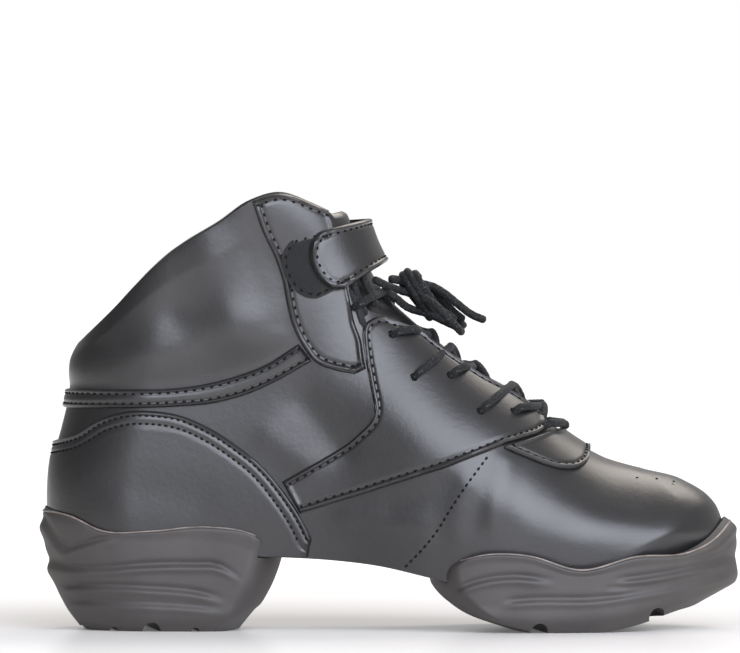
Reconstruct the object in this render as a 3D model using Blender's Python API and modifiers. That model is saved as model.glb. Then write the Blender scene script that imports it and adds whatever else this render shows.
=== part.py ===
"""Split-sole dance sneaker, a right shoe in black leather, laced, with an ankle strap.

The toe points along +X, the wearer's outer side is -Y, and the origin is on the
floor under the middle of the shoe. Every leather piece is laid on one skin, which
is worked out from the side view of the last and its girth, so pieces follow it.
A place in the side view is a share of the length, from the heel end, and a share
of the height, from the floor.
"""

import math

import bmesh
import bpy
import numpy as np
from mathutils.bvhtree import BVHTree

# Driving sizes, in metres
LENGTH = 0.2746            # sole, heel end to toe end
HEIGHT = 0.1726            # floor to the top of the collar
BALL_HALF_WIDTH = 0.0465   # upper at the ball of the foot
HEEL_ROUND = 0.033         # round of the heel, seen from above
INSTEP_ROUND = 0.042       # how far the round of the ridge reaches down
WALL = 0.0020              # leather with its lining
COLLAR_WALL = 0.0062       # padded collar, at its thickest
COLLAR_PUFF = 0.0016       # how far the collar pad swells outwards
PAD_FADE = 0.015           # width over which the padding tapers off at its seams
PAD_MARGIN = 0.002         # between the padding and the pieces sewn beside it
OVERLAY = 0.0011           # leather laid over the upper
OVERLAY_GAP = 0.0005       # between an overlay and what it lies on
GAP = 0.0003               # between pieces that rest on each other
BOARD = 0.0018             # lasting board
INSOLE = 0.0040
TONGUE = 0.0040
STRAP = 0.0018
STRAP_WIDTH = 0.0200
STRAP_LIFT = 0.0042        # over the tongue and the laces
STRAP_END_LIFT = 0.0037    # over the patch
STRAP_SEWN_LIFT = 0.0024   # where it is sewn down, on the medial side
PATCH_WIDTH = 0.0205       # fastening patch under the strap
SOLE_PROUD = 0.0042        # sole beyond the upper, at the ball
HEEL_PROUD = 0.0036        # heel unit beyond the upper
BREAST_ROUND = 0.012       # corners of the soles at the open arch, from above
RIB_DEPTH = 0.0012         # ribs on the sides of the soles
TREAD_INSET = 0.0055       # tread face within the side of the sole
GROOVE_RADIUS = 0.0034     # half-round grooves across the treads
LACE = 0.0028              # lace diameter

# How finely the skin is cut into faces
SIDE_STEPS = 30
RISE_STEPS = 12
STRAP_STEPS = 18

# Side view of the last. Columns: share of the length, share of the height
HEEL_BACK = [
    (0.019, 0.191), (0.0135, 0.240), (0.012, 0.291), (0.017, 0.398),
    (0.028, 0.465), (0.038, 0.535), (0.041, 0.585), (0.054, 0.657),
]
LEG_BACK = [(0.066, 0.80), (0.070, 1.08)]
LEG_FRONT = [(0.424, 1.16)]
FEATHER = [
    (0.019, 0.191), (0.063, 0.175), (0.172, 0.171), (0.282, 0.171), (0.347, 0.169),
    (0.424, 0.162), (0.482, 0.151), (0.555, 0.125), (0.627, 0.098), (0.726, 0.085),
    (0.828, 0.096), (0.919, 0.121), (0.966, 0.151),
]
TOE_RIDGE = [
    (0.966, 0.151), (0.979, 0.197), (0.980, 0.231), (0.976, 0.258), (0.960, 0.305),
    (0.929, 0.340), (0.871, 0.364), (0.816, 0.387), (0.775, 0.421), (0.739, 0.461),
]
INSTEP = [
    (0.697, 0.524), (0.657, 0.571), (0.620, 0.611), (0.575, 0.666), (0.533, 0.721),
    (0.498, 0.776), (0.480, 0.823), (0.465, 0.869), (0.452, 0.927), (0.440, 0.997),
    (0.432, 1.072),
]
TOPLINE = [
    (0.054, 0.657), (0.102, 0.732), (0.156, 0.824), (0.204, 0.884), (0.254, 0.932),
    (0.299, 0.981), (0.343, 1.000), (0.383, 0.978), (0.411, 0.954), (0.433, 0.857),
    (0.444, 0.785), (0.467, 0.736), (0.511, 0.710), (0.569, 0.646), (0.617, 0.589),
    (0.657, 0.554), (0.697, 0.513), (0.720, 0.484), (0.739, 0.461),
]
# Columns: share of the length, then shares of the ball half width:
# how far the middle line swings to the big toe, and the half width
GIRTH = [
    (0.012, 0.000, 0.68), (0.154, 0.000, 0.68), (0.282, -0.025, 0.68),
    (0.427, -0.070, 0.72), (0.555, -0.080, 0.87), (0.646, -0.036, 0.975),
    (0.719, 0.000, 1.00), (0.810, 0.040, 0.95), (0.882, 0.085, 0.88),
    (0.937, 0.100, 0.81), (0.980, 0.105, 0.76),
]
# Columns: share of the height, share of the half width
SWELL = [(0.08, 0.93), (0.24, 1.00), (0.45, 0.97), (0.62, 0.93), (0.80, 0.98), (1.00, 1.04)]

# Overlays in the side view. Columns of each row: length and height shares of the
# upper edge, length and height shares of the lower edge
PANEL_ROWS = [
    (0.346, 0.341, 0.371, 0.270), (0.378, 0.370, 0.398, 0.283), (0.415, 0.404, 0.430, 0.299),
    (0.451, 0.444, 0.465, 0.316), (0.478, 0.501, 0.495, 0.332), (0.471, 0.565, 0.515, 0.342),
    (0.464, 0.627, 0.534, 0.352), (0.462, 0.692, 0.556, 0.363), (0.481, 0.713, 0.578, 0.374),
    (0.508, 0.701, 0.602, 0.389), (0.535, 0.684, 0.625, 0.403), (0.569, 0.643, 0.645, 0.415),
    (0.599, 0.609, 0.664, 0.426), (0.632, 0.574, 0.682, 0.434), (0.664, 0.546, 0.698, 0.441),
    (0.697, 0.511, 0.712, 0.448), (0.715, 0.487, 0.722, 0.458),
]
ANKLE_ROWS = [
    (0.406, 0.948, 0.303, 0.969), (0.415, 0.905, 0.318, 0.905), (0.425, 0.855, 0.335, 0.850),
    (0.432, 0.815, 0.346, 0.800), (0.438, 0.775, 0.352, 0.750), (0.444, 0.735, 0.361, 0.695),
    (0.449, 0.700, 0.376, 0.645), (0.452, 0.655, 0.398, 0.612), (0.454, 0.618, 0.430, 0.600),
]
ANKLE_CROWN = 0.0032       # how far the ankle panels' top edges bow upwards
# Heel counter and collar band. Columns of each row: share of the way forward from the
# heel back, then length and height shares of the upper edge and of the lower edge
COUNTER_ROWS = [
    (0.018, 0.430, 0.020, 0.190), (0.051, 0.446, 0.056, 0.180), (0.085, 0.481, 0.090, 0.177),
    (0.120, 0.499, 0.125, 0.176), (0.160, 0.501, 0.165, 0.175), (0.200, 0.491, 0.205, 0.175),
    (0.237, 0.467, 0.240, 0.175), (0.278, 0.427, 0.280, 0.175), (0.318, 0.376, 0.315, 0.174),
    (0.350, 0.315, 0.345, 0.174), (0.373, 0.260, 0.368, 0.173), (0.388, 0.213, 0.383, 0.171),
]
BAND_ROWS = [
    (0.038, 0.549, 0.033, 0.506), (0.060, 0.549, 0.058, 0.506), (0.100, 0.549, 0.100, 0.507),
    (0.143, 0.550, 0.143, 0.508), (0.190, 0.553, 0.190, 0.511), (0.240, 0.564, 0.246, 0.519),
    (0.285, 0.583, 0.296, 0.540), (0.328, 0.611, 0.342, 0.573), (0.358, 0.642, 0.374, 0.602),
]
# The apron round the toe end of the throat, from the ridge down to the side
APRON_ROWS = [
    (0.7435, 0.4575, 0.787, 0.411), (0.742, 0.455, 0.783, 0.388), (0.736, 0.450, 0.770, 0.372),
    (0.727, 0.449, 0.748, 0.369), (0.712, 0.440, 0.722, 0.379), (0.690, 0.429, 0.696, 0.395),
    (0.670, 0.420, 0.673, 0.412),
]

# The tongue. Columns: share of the ridge line, half width as a share of the ball half width
TONGUE_ROWS = [(0.345, 0.36), (0.50, 0.50), (0.70, 0.56), (0.86, 0.56), (0.918, 0.42)]
TONGUE_CROWN = 0.0016      # how much the padded tongue swells in the open throat

# The ankle strap and its patch: angles round the instep in degrees, lateral side first
STRAP_PLACE = 0.852        # middle of the strap, as a share of the ridge line
STRAP_CLIMB = (0.0, 0.28)  # how far it climbs for each step back, lateral and medial side
STRAP_FLARE = 0.25         # how much wider its loose end is, for a quarter turn
STRAP_TURN = (-63.0, 94.0)
STRAP_END_TURN = 15.0      # taken up by its round end
PATCH_TURN = (-78.0, -54.0)
PATCH_CLIMB = (0.04, 0.0)

# Lacing. Columns: length and height shares of the hole, then shares of the ridge line
# where the lace crosses the ridge and where it dives under, and how far it sinks between
# the throat edges, from 0 for none to 1 for down to the tongue
LACING = [
    (0.447, 0.735, 0.770, 0.745, 1.0), (0.501, 0.671, 0.667, 0.649, 1.0),
    (0.533, 0.575, 0.628, 0.604, 0.9), (0.584, 0.577, 0.577, 0.546, 0.8),
    (0.627, 0.497, 0.508, 0.477, 0.4), (0.674, 0.495, 0.450, 0.436, 0.0),
]
TOE_BAR = (0.716, 0.461, 0.398)
DIVE_TURN = 15.0           # degrees from the ridge to where a lace dives under

# The bow, tied over the instep: its knot and the routes of its cords, in metres
KNOT_CENTRE = (0.0105, -0.0010, 0.1340)
KNOT_RADII = (0.0060, 0.0088, 0.0085)
BOW_ROUTES = {
    "bow_feed_lateral": [
        (-0.0006, -0.0066, 0.1379), (0.0018, -0.0053, 0.1378), (0.0048, -0.0040, 0.1373),
    ],
    "bow_feed_medial": [
        (-0.0006, 0.0046, 0.1381), (0.0016, 0.0034, 0.1380), (0.0048, 0.0018, 0.1375),
    ],
    "bow_loop_lateral": [
        (0.0171, -0.0062, 0.1340), (0.0207, -0.0067, 0.1303), (0.0255, -0.0074, 0.1254),
        (0.0290, -0.0086, 0.1216), (0.0299, -0.0112, 0.1202), (0.0277, -0.0128, 0.1220),
        (0.0230, -0.0124, 0.1266), (0.0180, -0.0108, 0.1314), (0.0145, -0.0098, 0.1340),
    ],
    "bow_loop_medial": [
        (0.0163, 0.0048, 0.1344), (0.0205, 0.0056, 0.1309), (0.0260, 0.0066, 0.1266),
        (0.0305, 0.0078, 0.1230), (0.0317, 0.0104, 0.1214), (0.0295, 0.0122, 0.1230),
        (0.0240, 0.0116, 0.1274), (0.0185, 0.0100, 0.1314), (0.0145, 0.0086, 0.1340),
    ],
    "lace_end_lateral": [
        (0.0173, -0.0024, 0.1349), (0.0215, -0.0026, 0.1324), (0.0265, -0.0028, 0.1284),
        (0.0320, -0.0024, 0.1242), (0.0380, -0.0014, 0.1216),
    ],
    "lace_end_medial": [
        (0.0173, 0.0012, 0.1334), (0.0210, 0.0014, 0.1296), (0.0250, 0.0018, 0.1252),
        (0.0295, 0.0026, 0.1216),
    ],
}

# Sole units. A row goes round the unit at one level, with its length and height shares at
# the arch end, heights at the stations between, length and height at the far end, and its
# inset as a share of the rib depth. Stations are shares of the way along the row. The rows
# are the foot of the side, the low, middle and top ribs, and the edge.
FOREFOOT_STATIONS = (0.15, 0.30, 0.47, 0.66, 0.86, 0.94)
FOREFOOT_ROWS = [
    ((0.613, 0.034), (0.029, 0.026, 0.029, 0.046, 0.075, 0.087), (0.988, 0.098), 0.6),
    ((0.580, 0.068), (0.068, 0.067, 0.071, 0.085, 0.103, 0.109), (0.996, 0.118), 1.0),
    ((0.562, 0.098), (0.111, 0.120, 0.113, 0.124, 0.139, 0.147), (1.0, 0.162), 1.0),
    ((0.557, 0.122), (0.151, 0.156, 0.127, 0.147, 0.162, 0.177), (0.999, 0.208), 1.0),
    ((0.572, 0.149), (0.177, 0.174, 0.141, 0.171, 0.180, 0.204), (0.993, 0.243), 0.8),
]
FOREFOOT_TREAD = ((0.668, 0.004), (0.0, 0.0, 0.0, 0.017, 0.046, 0.055), (0.952, 0.066))
FOREFOOT_LIP = ((0.580, 0.152), (0.179, 0.176, 0.143, 0.173, 0.184, 0.215), (0.982, 0.256))
HEEL_STATIONS = (0.05, 0.12, 0.25, 0.45, 0.70, 0.90)
HEEL_ROWS = [
    ((0.037, 0.043), (0.037, 0.034, 0.031, 0.031, 0.031, 0.034), (0.304, 0.042), 0.6),
    ((0.021, 0.092), (0.094, 0.095, 0.093, 0.088, 0.090, 0.067), (0.316, 0.061), 1.0),
    ((0.011, 0.131), (0.133, 0.135, 0.141, 0.145, 0.146, 0.113), (0.331, 0.104), 1.0),
    ((0.004, 0.190), (0.191, 0.194, 0.200, 0.203, 0.203, 0.177), (0.342, 0.150), 1.0),
    ((0.000, 0.264), (0.266, 0.259, 0.228, 0.227, 0.237, 0.217), (0.343, 0.180), 0.6),
]
HEEL_TREAD = ((0.056, 0.003), (0.0, 0.0, 0.0, 0.0, 0.0, 0.0), (0.284, 0.003))
HEEL_LIP = ((0.006, 0.287), (0.276, 0.266, 0.231, 0.229, 0.239, 0.217), (0.338, 0.182))
FOREFOOT_GROOVES = [(0.712, 0.003), (0.887, 0.036)]
HEEL_GROOVES = [(0.167, 0.001)]

# Colours: linear red, green and blue, with roughness
BLACK_LEATHER = ((0.060, 0.060, 0.066), 0.38)
LINING_CLOTH = ((0.030, 0.030, 0.032), 0.85)
DARK_RUBBER = ((0.095, 0.082, 0.074), 0.62)
BLACK_LACE = ((0.012, 0.013, 0.013), 0.80)
LOOP_CLOTH = ((0.014, 0.014, 0.016), 0.95)


class Through:
    """A smooth curve through values that are given at rising knots."""

    def __init__(self, knots, values):
        self.knots = np.array(knots, float)
        self.values = np.array(values, float)
        self.slopes = np.gradient(self.values, self.knots, axis=0)

    def __call__(self, at):
        at = np.clip(np.asarray(at, float), self.knots[0], self.knots[-1])
        first = np.searchsorted(self.knots, at, side="right") - 1
        first = np.clip(first, 0, len(self.knots) - 2)
        span = self.knots[first + 1] - self.knots[first]
        t = (at - self.knots[first]) / span
        if self.values.ndim == 2:
            t = t[..., None]
            span = span[..., None]
        smooth = t * t * (3.0 - 2.0 * t)
        value = (1.0 - smooth) * self.values[first] + smooth * self.values[first + 1]
        value += span * t * (1.0 - t) ** 2 * self.slopes[first]
        value -= span * t * t * (1.0 - t) * self.slopes[first + 1]
        return value


def side_view(shares):
    """Places in the side view, in metres, from shares of the length and the height."""
    shares = np.asarray(shares, float)
    return np.stack([(shares[..., 0] - 0.5) * LENGTH, shares[..., 1] * HEIGHT], axis=-1)


def chord_shares(points):
    """How far along each point lies, from 0 to 1."""
    steps = np.linalg.norm(np.diff(points, axis=0), axis=1)
    run = np.concatenate([[0.0], np.cumsum(steps)])
    return run / run[-1]


def line_through(shares):
    points = side_view(shares)
    return Through(chord_shares(points), points)


heel_back = line_through(HEEL_BACK)
feather = line_through(FEATHER)
topline = line_through(TOPLINE)
ridge = line_through(TOE_RIDGE + INSTEP)
THROAT_SHARE = float(ridge.knots[len(TOE_RIDGE) - 1])
girth = Through([(row[0] - 0.5) * LENGTH for row in GIRTH], [row[1:] for row in GIRTH])
swell = Through([row[0] * HEIGHT for row in SWELL], [row[1] for row in SWELL])
feather_height = Through([p[0] for p in feather.values], [p[1] for p in feather.values])


def dense_line(curve, below, above):
    """A line of many short steps along a curve, carried on below it and above it."""
    along = curve(np.linspace(0.0, 1.0, 240))
    return np.concatenate([below, along, above])


def distance_to(places, line):
    """Shortest distance in the side view from each place to a line of short steps."""
    start = line[:-1]
    step = line[1:] - start
    offset = places[..., None, :] - start
    share = (offset * step).sum(-1) / (step * step).sum(-1)
    share = np.clip(share, 0.0, 1.0)[..., None]
    return np.linalg.norm(offset - share * step, axis=-1).min(-1)


toe_foot = side_view([(TOE_RIDGE[0][0] - 0.004, 0.02)])
heel_foot = side_view([(HEEL_BACK[0][0] + 0.004, 0.02)])
BACK_LINE = dense_line(heel_back, heel_foot, side_view(LEG_BACK))
RIDGE_LINE = dense_line(ridge, toe_foot, side_view(LEG_FRONT))


def rounded(depth, radius):
    """Share of the full half width at a depth inside a round of this radius."""
    return np.sqrt(1.0 - (1.0 - np.clip(depth / radius, 0.0, 1.0)) ** 2)


def middle_line(x):
    return girth(x)[..., 0] * BALL_HALF_WIDTH


def half_width(places):
    """The upper's half width at places in the side view."""
    width = girth(places[..., 0])[..., 1] * BALL_HALF_WIDTH * swell(places[..., 1])
    width *= rounded(distance_to(places, BACK_LINE), HEEL_ROUND)
    return width * rounded(distance_to(places, RIDGE_LINE), INSTEP_ROUND)


def on_skin(places, sides):
    """Points on the upper's skin: sides is -1 on the lateral side and 1 on the medial."""
    across = middle_line(places[..., 0]) + sides * half_width(places)
    return np.stack([places[..., 0], across, places[..., 1]], axis=-1)


def grid_normals(grid, closed):
    """Outward normals of a grid of points, which may be closed along its first index."""
    if closed:
        around = np.roll(grid, -1, axis=0) - np.roll(grid, 1, axis=0)
    else:
        around = np.gradient(grid, axis=0)
    normals = np.cross(around, np.gradient(grid, axis=1))
    normals /= np.maximum(np.linalg.norm(normals, axis=-1, keepdims=True), 1e-12)
    outward = grid[..., 1] - middle_line(grid[..., 0])
    if (normals[..., 1] * outward).sum() < 0.0:
        normals = -normals
    return normals


def lifted(grid, height):
    return grid + grid_normals(grid, False) * height


def between(rows, count_along, count_across, shares=None):
    """Side-view places between two edges that a table gives row by row."""
    table = np.array(rows, float)
    upper = side_view(table[:, 0:2])
    lower = side_view(table[:, 2:4])
    knots = chord_shares((upper + lower) / 2.0)
    along = np.linspace(0.0, 1.0, count_along) if shares is None else shares
    upper = Through(knots, upper)(along)
    lower = Through(knots, lower)(along)
    across = np.linspace(0.0, 1.0, count_across)[None, :, None]
    return lower[:, None] + (upper - lower)[:, None] * across


def upper_places(ways, rises):
    """Places between the feather line, the topline, the heel back and the toe ridge."""
    way = np.asarray(ways, float)[:, None, None]
    rise = np.asarray(rises, float)[None, :, None]
    low = feather(way[:, 0, 0])[:, None]
    high = topline(way[:, 0, 0])[:, None]
    back = heel_back(rise[0, :, 0])[None]
    front = ridge(rise[0, :, 0] * THROAT_SHARE)[None]
    corners = (1 - way) * ((1 - rise) * feather(0.0) + rise * topline(0.0))
    corners = corners + way * ((1 - rise) * feather(1.0) + rise * topline(1.0))
    return (1 - rise) * low + rise * high + (1 - way) * back + way * front - corners


def even_ways(steps):
    """Ways from heel (0) to toe (1) that lie evenly spaced round the foot."""
    dense = (1.0 - np.cos(np.linspace(0.0, math.pi, 300))) / 2.0
    points = on_skin(upper_places(dense, [0.25])[:, 0], np.ones(300))
    wanted = np.linspace(0.0, 1.0, steps + 1)
    return np.interp(wanted, chord_shares(points), dense)


def round_the_foot(values):
    """Values from heel to toe along the lateral side and back along the medial."""
    return np.concatenate([values, values[-2:0:-1]])


def side_signs(steps):
    lateral = -np.ones(steps + 1)
    lateral[[0, -1]] = 0.0
    return np.concatenate([lateral, np.ones(steps - 1)])


def pad_share(places):
    """How much of the collar's padding is under each place, from 0 to 1."""
    band = side_view([row[0:2] for row in BAND_ROWS])
    seam = side_view([row[2:4] for row in ANKLE_ROWS[::-1]])
    above = places[..., 1] - Through(band[:, 0], band[:, 1])(places[..., 0])
    behind = Through(seam[:, 1], seam[:, 0])(places[..., 1]) - places[..., 0]
    nearest = np.minimum(above, behind) - PAD_MARGIN
    return np.sin(np.clip(nearest / PAD_FADE, 0.0, 1.0) * math.pi / 2)


def skin_grid(rises, lift=0.0):
    """Points round the foot, from heel to toe and back, at each rise above the feather."""
    ways = even_ways(SIDE_STEPS)
    places = round_the_foot(upper_places(ways, rises))
    grid = on_skin(places, side_signs(SIDE_STEPS)[:, None])
    padded = pad_share(places)
    crown = np.clip((1.0 - np.asarray(rises)) / 0.12, 0.0, 1.0)[None]
    normals = grid_normals(grid, True)
    return grid + normals * (lift + COLLAR_PUFF * padded * crown)[..., None], padded


def faceted_skin():
    """The upper's skin as it is cut into faces, to keep overlays clear of it."""
    grid, _ = skin_grid(np.linspace(0.0, 1.0, RISE_STEPS + 1))
    bm = bmesh.new()
    grid_faces(bm, grid, True)
    face_outward(bm)
    tree = BVHTree.FromBMesh(bm)
    bm.free()
    return tree


def resting(grid, tree):
    """Overlay points just clear of the skin, also where its faces bridge a hollow."""
    normals = grid_normals(grid, False)
    points = grid + normals * OVERLAY_GAP
    short = np.zeros(points.shape[:2])
    for index in np.ndindex(short.shape):
        nearest, normal, _, _ = tree.find_nearest(points[index])
        height = float(np.dot(points[index] - np.array(nearest), np.array(normal)))
        short[index] = max(0.0, OVERLAY_GAP - height)
    spread = np.pad(short, 1, mode="edge")
    rows, columns = short.shape
    for row in range(3):
        for column in range(3):
            near = spread[row:row + rows, column:column + columns]
            short = np.maximum(short, near)
    return points + normals * short[..., None]


def material(name, finish):
    """A plain finish: colour and roughness on the principled shader."""
    made = bpy.data.materials.get(name)
    if made is None:
        made = bpy.data.materials.new(name)
        made.use_nodes = True
        shader = made.node_tree.nodes["Principled BSDF"]
        shader.inputs["Base Color"].default_value = (*finish[0], 1.0)
        shader.inputs["Roughness"].default_value = finish[1]
        shader.inputs["Metallic"].default_value = 0.0
    return made


def object_from(name, bm, collection, finish_name, finish):
    mesh = bpy.data.meshes.new(name)
    bm.to_mesh(mesh)
    bm.free()
    made = bpy.data.objects.new(name, mesh)
    collection.objects.link(made)
    mesh.materials.append(material(finish_name, finish))
    mesh.shade_smooth()
    return made


def grid_faces(bm, grid, closed):
    """Vertices and faces of a grid of points; the rows of vertices are returned."""
    rows = [[bm.verts.new(point) for point in row] for row in grid]
    for index in range(len(rows) if closed else len(rows) - 1):
        this, following = rows[index], rows[(index + 1) % len(rows)]
        for low in range(len(this) - 1):
            bm.faces.new((this[low], following[low], following[low + 1]))
            bm.faces.new((this[low], following[low + 1], this[low + 1]))
    return rows


def face_outward(bm):
    """Turn an open skin's faces away from the middle of the foot."""
    bmesh.ops.recalc_face_normals(bm, faces=bm.faces)
    total = 0.0
    for face in bm.faces:
        centre = face.calc_center_median()
        face.normal_update()
        total += face.normal.y * (centre.y - float(middle_line(centre.x))) * face.calc_area()
    if total < 0.0:
        bmesh.ops.reverse_faces(bm, faces=bm.faces)


def shell(name, grid, thickness, parts, finish_name, finish, outwards=True):
    """A sheet of one thickness on a grid, thickened away from the foot or towards it."""
    bm = bmesh.new()
    grid_faces(bm, grid, False)
    face_outward(bm)
    made = object_from(name, bm, parts, finish_name, finish)
    thick = made.modifiers.new("thickness", "SOLIDIFY")
    thick.thickness = thickness
    thick.offset = 1.0 if outwards else -1.0
    thick.use_even_offset = False
    return made


def cap(bm, ring):
    """Close a ring that runs round a foot shape with strips from side to side."""
    half = len(ring) // 2
    for index in range(half):
        left, right = ring[index], ring[-index]
        next_left, next_right = ring[index + 1], ring[-index - 1]
        corners = [left, next_left]
        if next_right is not next_left:
            corners.append(next_right)
        if right is not left:
            corners.append(right)
        bm.faces.new(corners)


def closed_form(name, rings, collection, finish_name, finish):
    """A solid through closed rings from the floor up, capped below and above."""
    bm = bmesh.new()
    grid = np.swapaxes(np.array(rings), 0, 1)
    rows = grid_faces(bm, grid, True)
    cap(bm, [row[0] for row in rows])
    cap(bm, [row[-1] for row in rows])
    bmesh.ops.triangulate(bm, faces=bm.faces)
    bmesh.ops.recalc_face_normals(bm, faces=bm.faces)
    return object_from(name, bm, collection, finish_name, finish)


def hide_tool(made):
    made.hide_render = True
    made.display_type = "WIRE"
    return made


def add_boolean(made, tool, operation):
    cut = made.modifiers.new(tool.name, "BOOLEAN")
    cut.operation = operation
    cut.object = tool
    cut.solver = "EXACT"


def build_upper(parts):
    """One leather wall round the foot, open at the throat, the collar and underneath."""
    rises = np.linspace(0.0, 1.0, RISE_STEPS + 1)
    grid, padded = skin_grid(rises)
    bm = bmesh.new()
    grid_faces(bm, grid, True)
    face_outward(bm)
    made = object_from("upper", bm, parts, "black_leather", BLACK_LEATHER)
    group = made.vertex_groups.new(name="padding")
    for index, weight in enumerate(padded.reshape(-1)):
        group.add([index], float(weight), "REPLACE")
    thick = made.modifiers.new("wall", "SOLIDIFY")
    thick.thickness = COLLAR_WALL
    thick.offset = -1.0
    thick.use_even_offset = False
    thick.vertex_group = group.name
    thick.thickness_vertex_group = WALL / COLLAR_WALL
    return made


def inset_outline(distance):
    """The feather line seen from above, drawn in by a distance, and its heights."""
    ways = even_ways(SIDE_STEPS)
    places = round_the_foot(upper_places(ways, [0.0])[:, 0])
    ring = on_skin(places, side_signs(SIDE_STEPS))
    along = np.roll(ring, -1, axis=0) - np.roll(ring, 1, axis=0)
    inward = np.stack([-along[:, 1], along[:, 0]], axis=-1)
    inward /= np.linalg.norm(inward, axis=-1, keepdims=True)
    outline = ring[:, :2] + inward * distance
    return outline, feather_height(outline[:, 0])


def build_footbed(name, inset, lift, thickness, parts, finish_name, finish):
    """A sheet inside the feather line, which follows the arch and the toe spring."""
    outline, heights = inset_outline(inset)
    bottom = np.column_stack([outline, heights + lift])
    top = np.column_stack([outline, heights + lift + thickness])
    return closed_form(name, [bottom, top], parts, finish_name, finish)


def foot_form(name, lift, top_rise, tools):
    """The closed form of the lasted foot, grown by a clearance, that shapes the soles."""
    rises = np.linspace(0.0, 1.0, RISE_STEPS + 1)
    rises = rises[rises <= top_rise]
    grid, _ = skin_grid(rises, lift)
    rings = np.swapaxes(grid, 0, 1).copy()
    ways = even_ways(SIDE_STEPS)
    rings[0, :, 2] = round_the_foot(upper_places(ways, [0.0])[:, 0])[:, 1] - GAP
    return hide_tool(closed_form(name, rings, tools, "black_leather", BLACK_LEATHER))


def unit_ring(start, heights, stations, end, inset, proud, back_round, front_round, steps):
    """One level of a sole unit: a ring from its rear end round the front and back."""
    first = side_view([start])[0]
    last = side_view([end])[0]
    knots = [0.0, *stations, 1.0]
    level = Through(knots, [first[1], *[h * HEIGHT for h in heights], last[1]])
    share = (1.0 - np.cos(np.linspace(0.0, math.pi, steps + 1))) / 2.0
    x = first[0] + (last[0] - first[0]) * share
    z = np.maximum(level(share), 0.0)
    width = girth(x)[..., 1] * BALL_HALF_WIDTH + proud - inset
    width = width * rounded(x - first[0], back_round) * rounded(last[0] - x, front_round)
    lateral = np.column_stack([x, middle_line(x) - width, z])
    medial = np.column_stack([x, middle_line(x) + width, z])
    return np.concatenate([lateral, medial[-2:0:-1]])


def unit_rings(rows, tread, lip, stations, proud, back_round, front_round, steps):
    """All rings of a sole unit, with a crest between each two ribs of its side."""
    shape = (proud, back_round, front_round, steps)
    rings = [unit_ring(tread[0], tread[1], stations, tread[2], TREAD_INSET, *shape)]
    for index, (start, heights, end, inset) in enumerate(rows):
        ring = unit_ring(start, heights, stations, end, inset * RIB_DEPTH, *shape)
        if index > 1:
            before = rows[index - 1]
            start = np.add(before[0], start) / 2.0
            heights = np.add(before[1], heights) / 2.0
            end = np.add(before[2], end) / 2.0
            rings.append(unit_ring(start, heights, stations, end, 0.0, *shape))
        rings.append(ring)
    rings.append(unit_ring(lip[0], lip[1], stations, lip[2], 2.2 * RIB_DEPTH, *shape))
    return rings


def build_sole(name, rings, form, grooves, parts, tools):
    """A sole unit: its outer form, hollowed by the foot and grooved across its tread."""
    made = closed_form(name, rings, parts, "dark_rubber", DARK_RUBBER)
    add_boolean(made, form, "DIFFERENCE")
    for number, (way, rise) in enumerate(grooves, start=1):
        place = side_view([(way, rise)])[0]
        bm = bmesh.new()
        bmesh.ops.create_cone(
            bm, cap_ends=True, segments=16, radius1=GROOVE_RADIUS, radius2=GROOVE_RADIUS,
            depth=4.0 * BALL_HALF_WIDTH,
        )
        tool = object_from(f"{name}_groove_{number}", bm, tools, "dark_rubber", DARK_RUBBER)
        tool.location = (place[0], 0.0, place[1])
        tool.rotation_euler = (math.pi / 2, 0.0, 0.0)
        add_boolean(made, hide_tool(tool), "DIFFERENCE")
    return made


def one_side(rows, sign, count_along, count_across, tree, crown=0.0):
    """A panel on one side of the foot, just clear of the skin, its first edge crowned."""
    places = between(rows, count_along, count_across)
    across = np.linspace(0.0, 1.0, count_across)[None]
    fade = (1.0 - np.linspace(0.0, 1.0, count_along)[:, None]) ** 6
    places[..., 1] += crown * 4.0 * across * (1.0 - across) * fade
    return resting(on_skin(places, sign), tree)


def against_heel(places, shares):
    """Places moved so that the first ones lie on the heel's back line."""
    back = heel_back(np.linspace(0.0, 1.0, 200))
    move = np.interp(places[0, :, 1], back[:, 1], back[:, 0]) - places[0, :, 0]
    places[..., 0] += move[None] * (1.0 - shares[:, None]) ** 3
    return places


def round_the_heel(rows, steps, count_across, tree):
    """A panel that runs from one side round the back of the heel to the other."""
    dense = 1.0 - np.cos(np.linspace(0.0, 0.5 * math.pi, 200))
    points = on_skin(against_heel(between(rows, 0, 3, dense), dense), 1.0)[:, 1]
    shares = np.interp(np.linspace(0.0, 1.0, steps + 1), chord_shares(points), dense)
    places = against_heel(between(rows, 0, count_across, shares), shares)
    both = np.concatenate([places[:0:-1], places])
    signs = np.concatenate([-np.ones(steps), [0.0], np.ones(steps)])
    return resting(on_skin(both, signs[:, None]), tree)


def over_the_ridge(rows, steps, count_across, tree):
    """A panel that runs from one side over the ridge to the other."""
    shares = 1.0 - np.cos(np.linspace(0.0, 0.5 * math.pi, steps + 1))
    places = between(rows, 0, count_across, shares)
    line = ridge(np.linspace(THROAT_SHARE, 0.0, 200))
    move = np.interp(places[0, :, 0], line[:, 0], line[:, 1]) - places[0, :, 1]
    places[..., 1] += move[None] * (1.0 - shares[:, None]) ** 3
    both = np.concatenate([places[:0:-1], places])
    signs = np.concatenate([-np.ones(steps), [0.0], np.ones(steps)])
    return resting(on_skin(both, signs[:, None]), tree)


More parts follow.
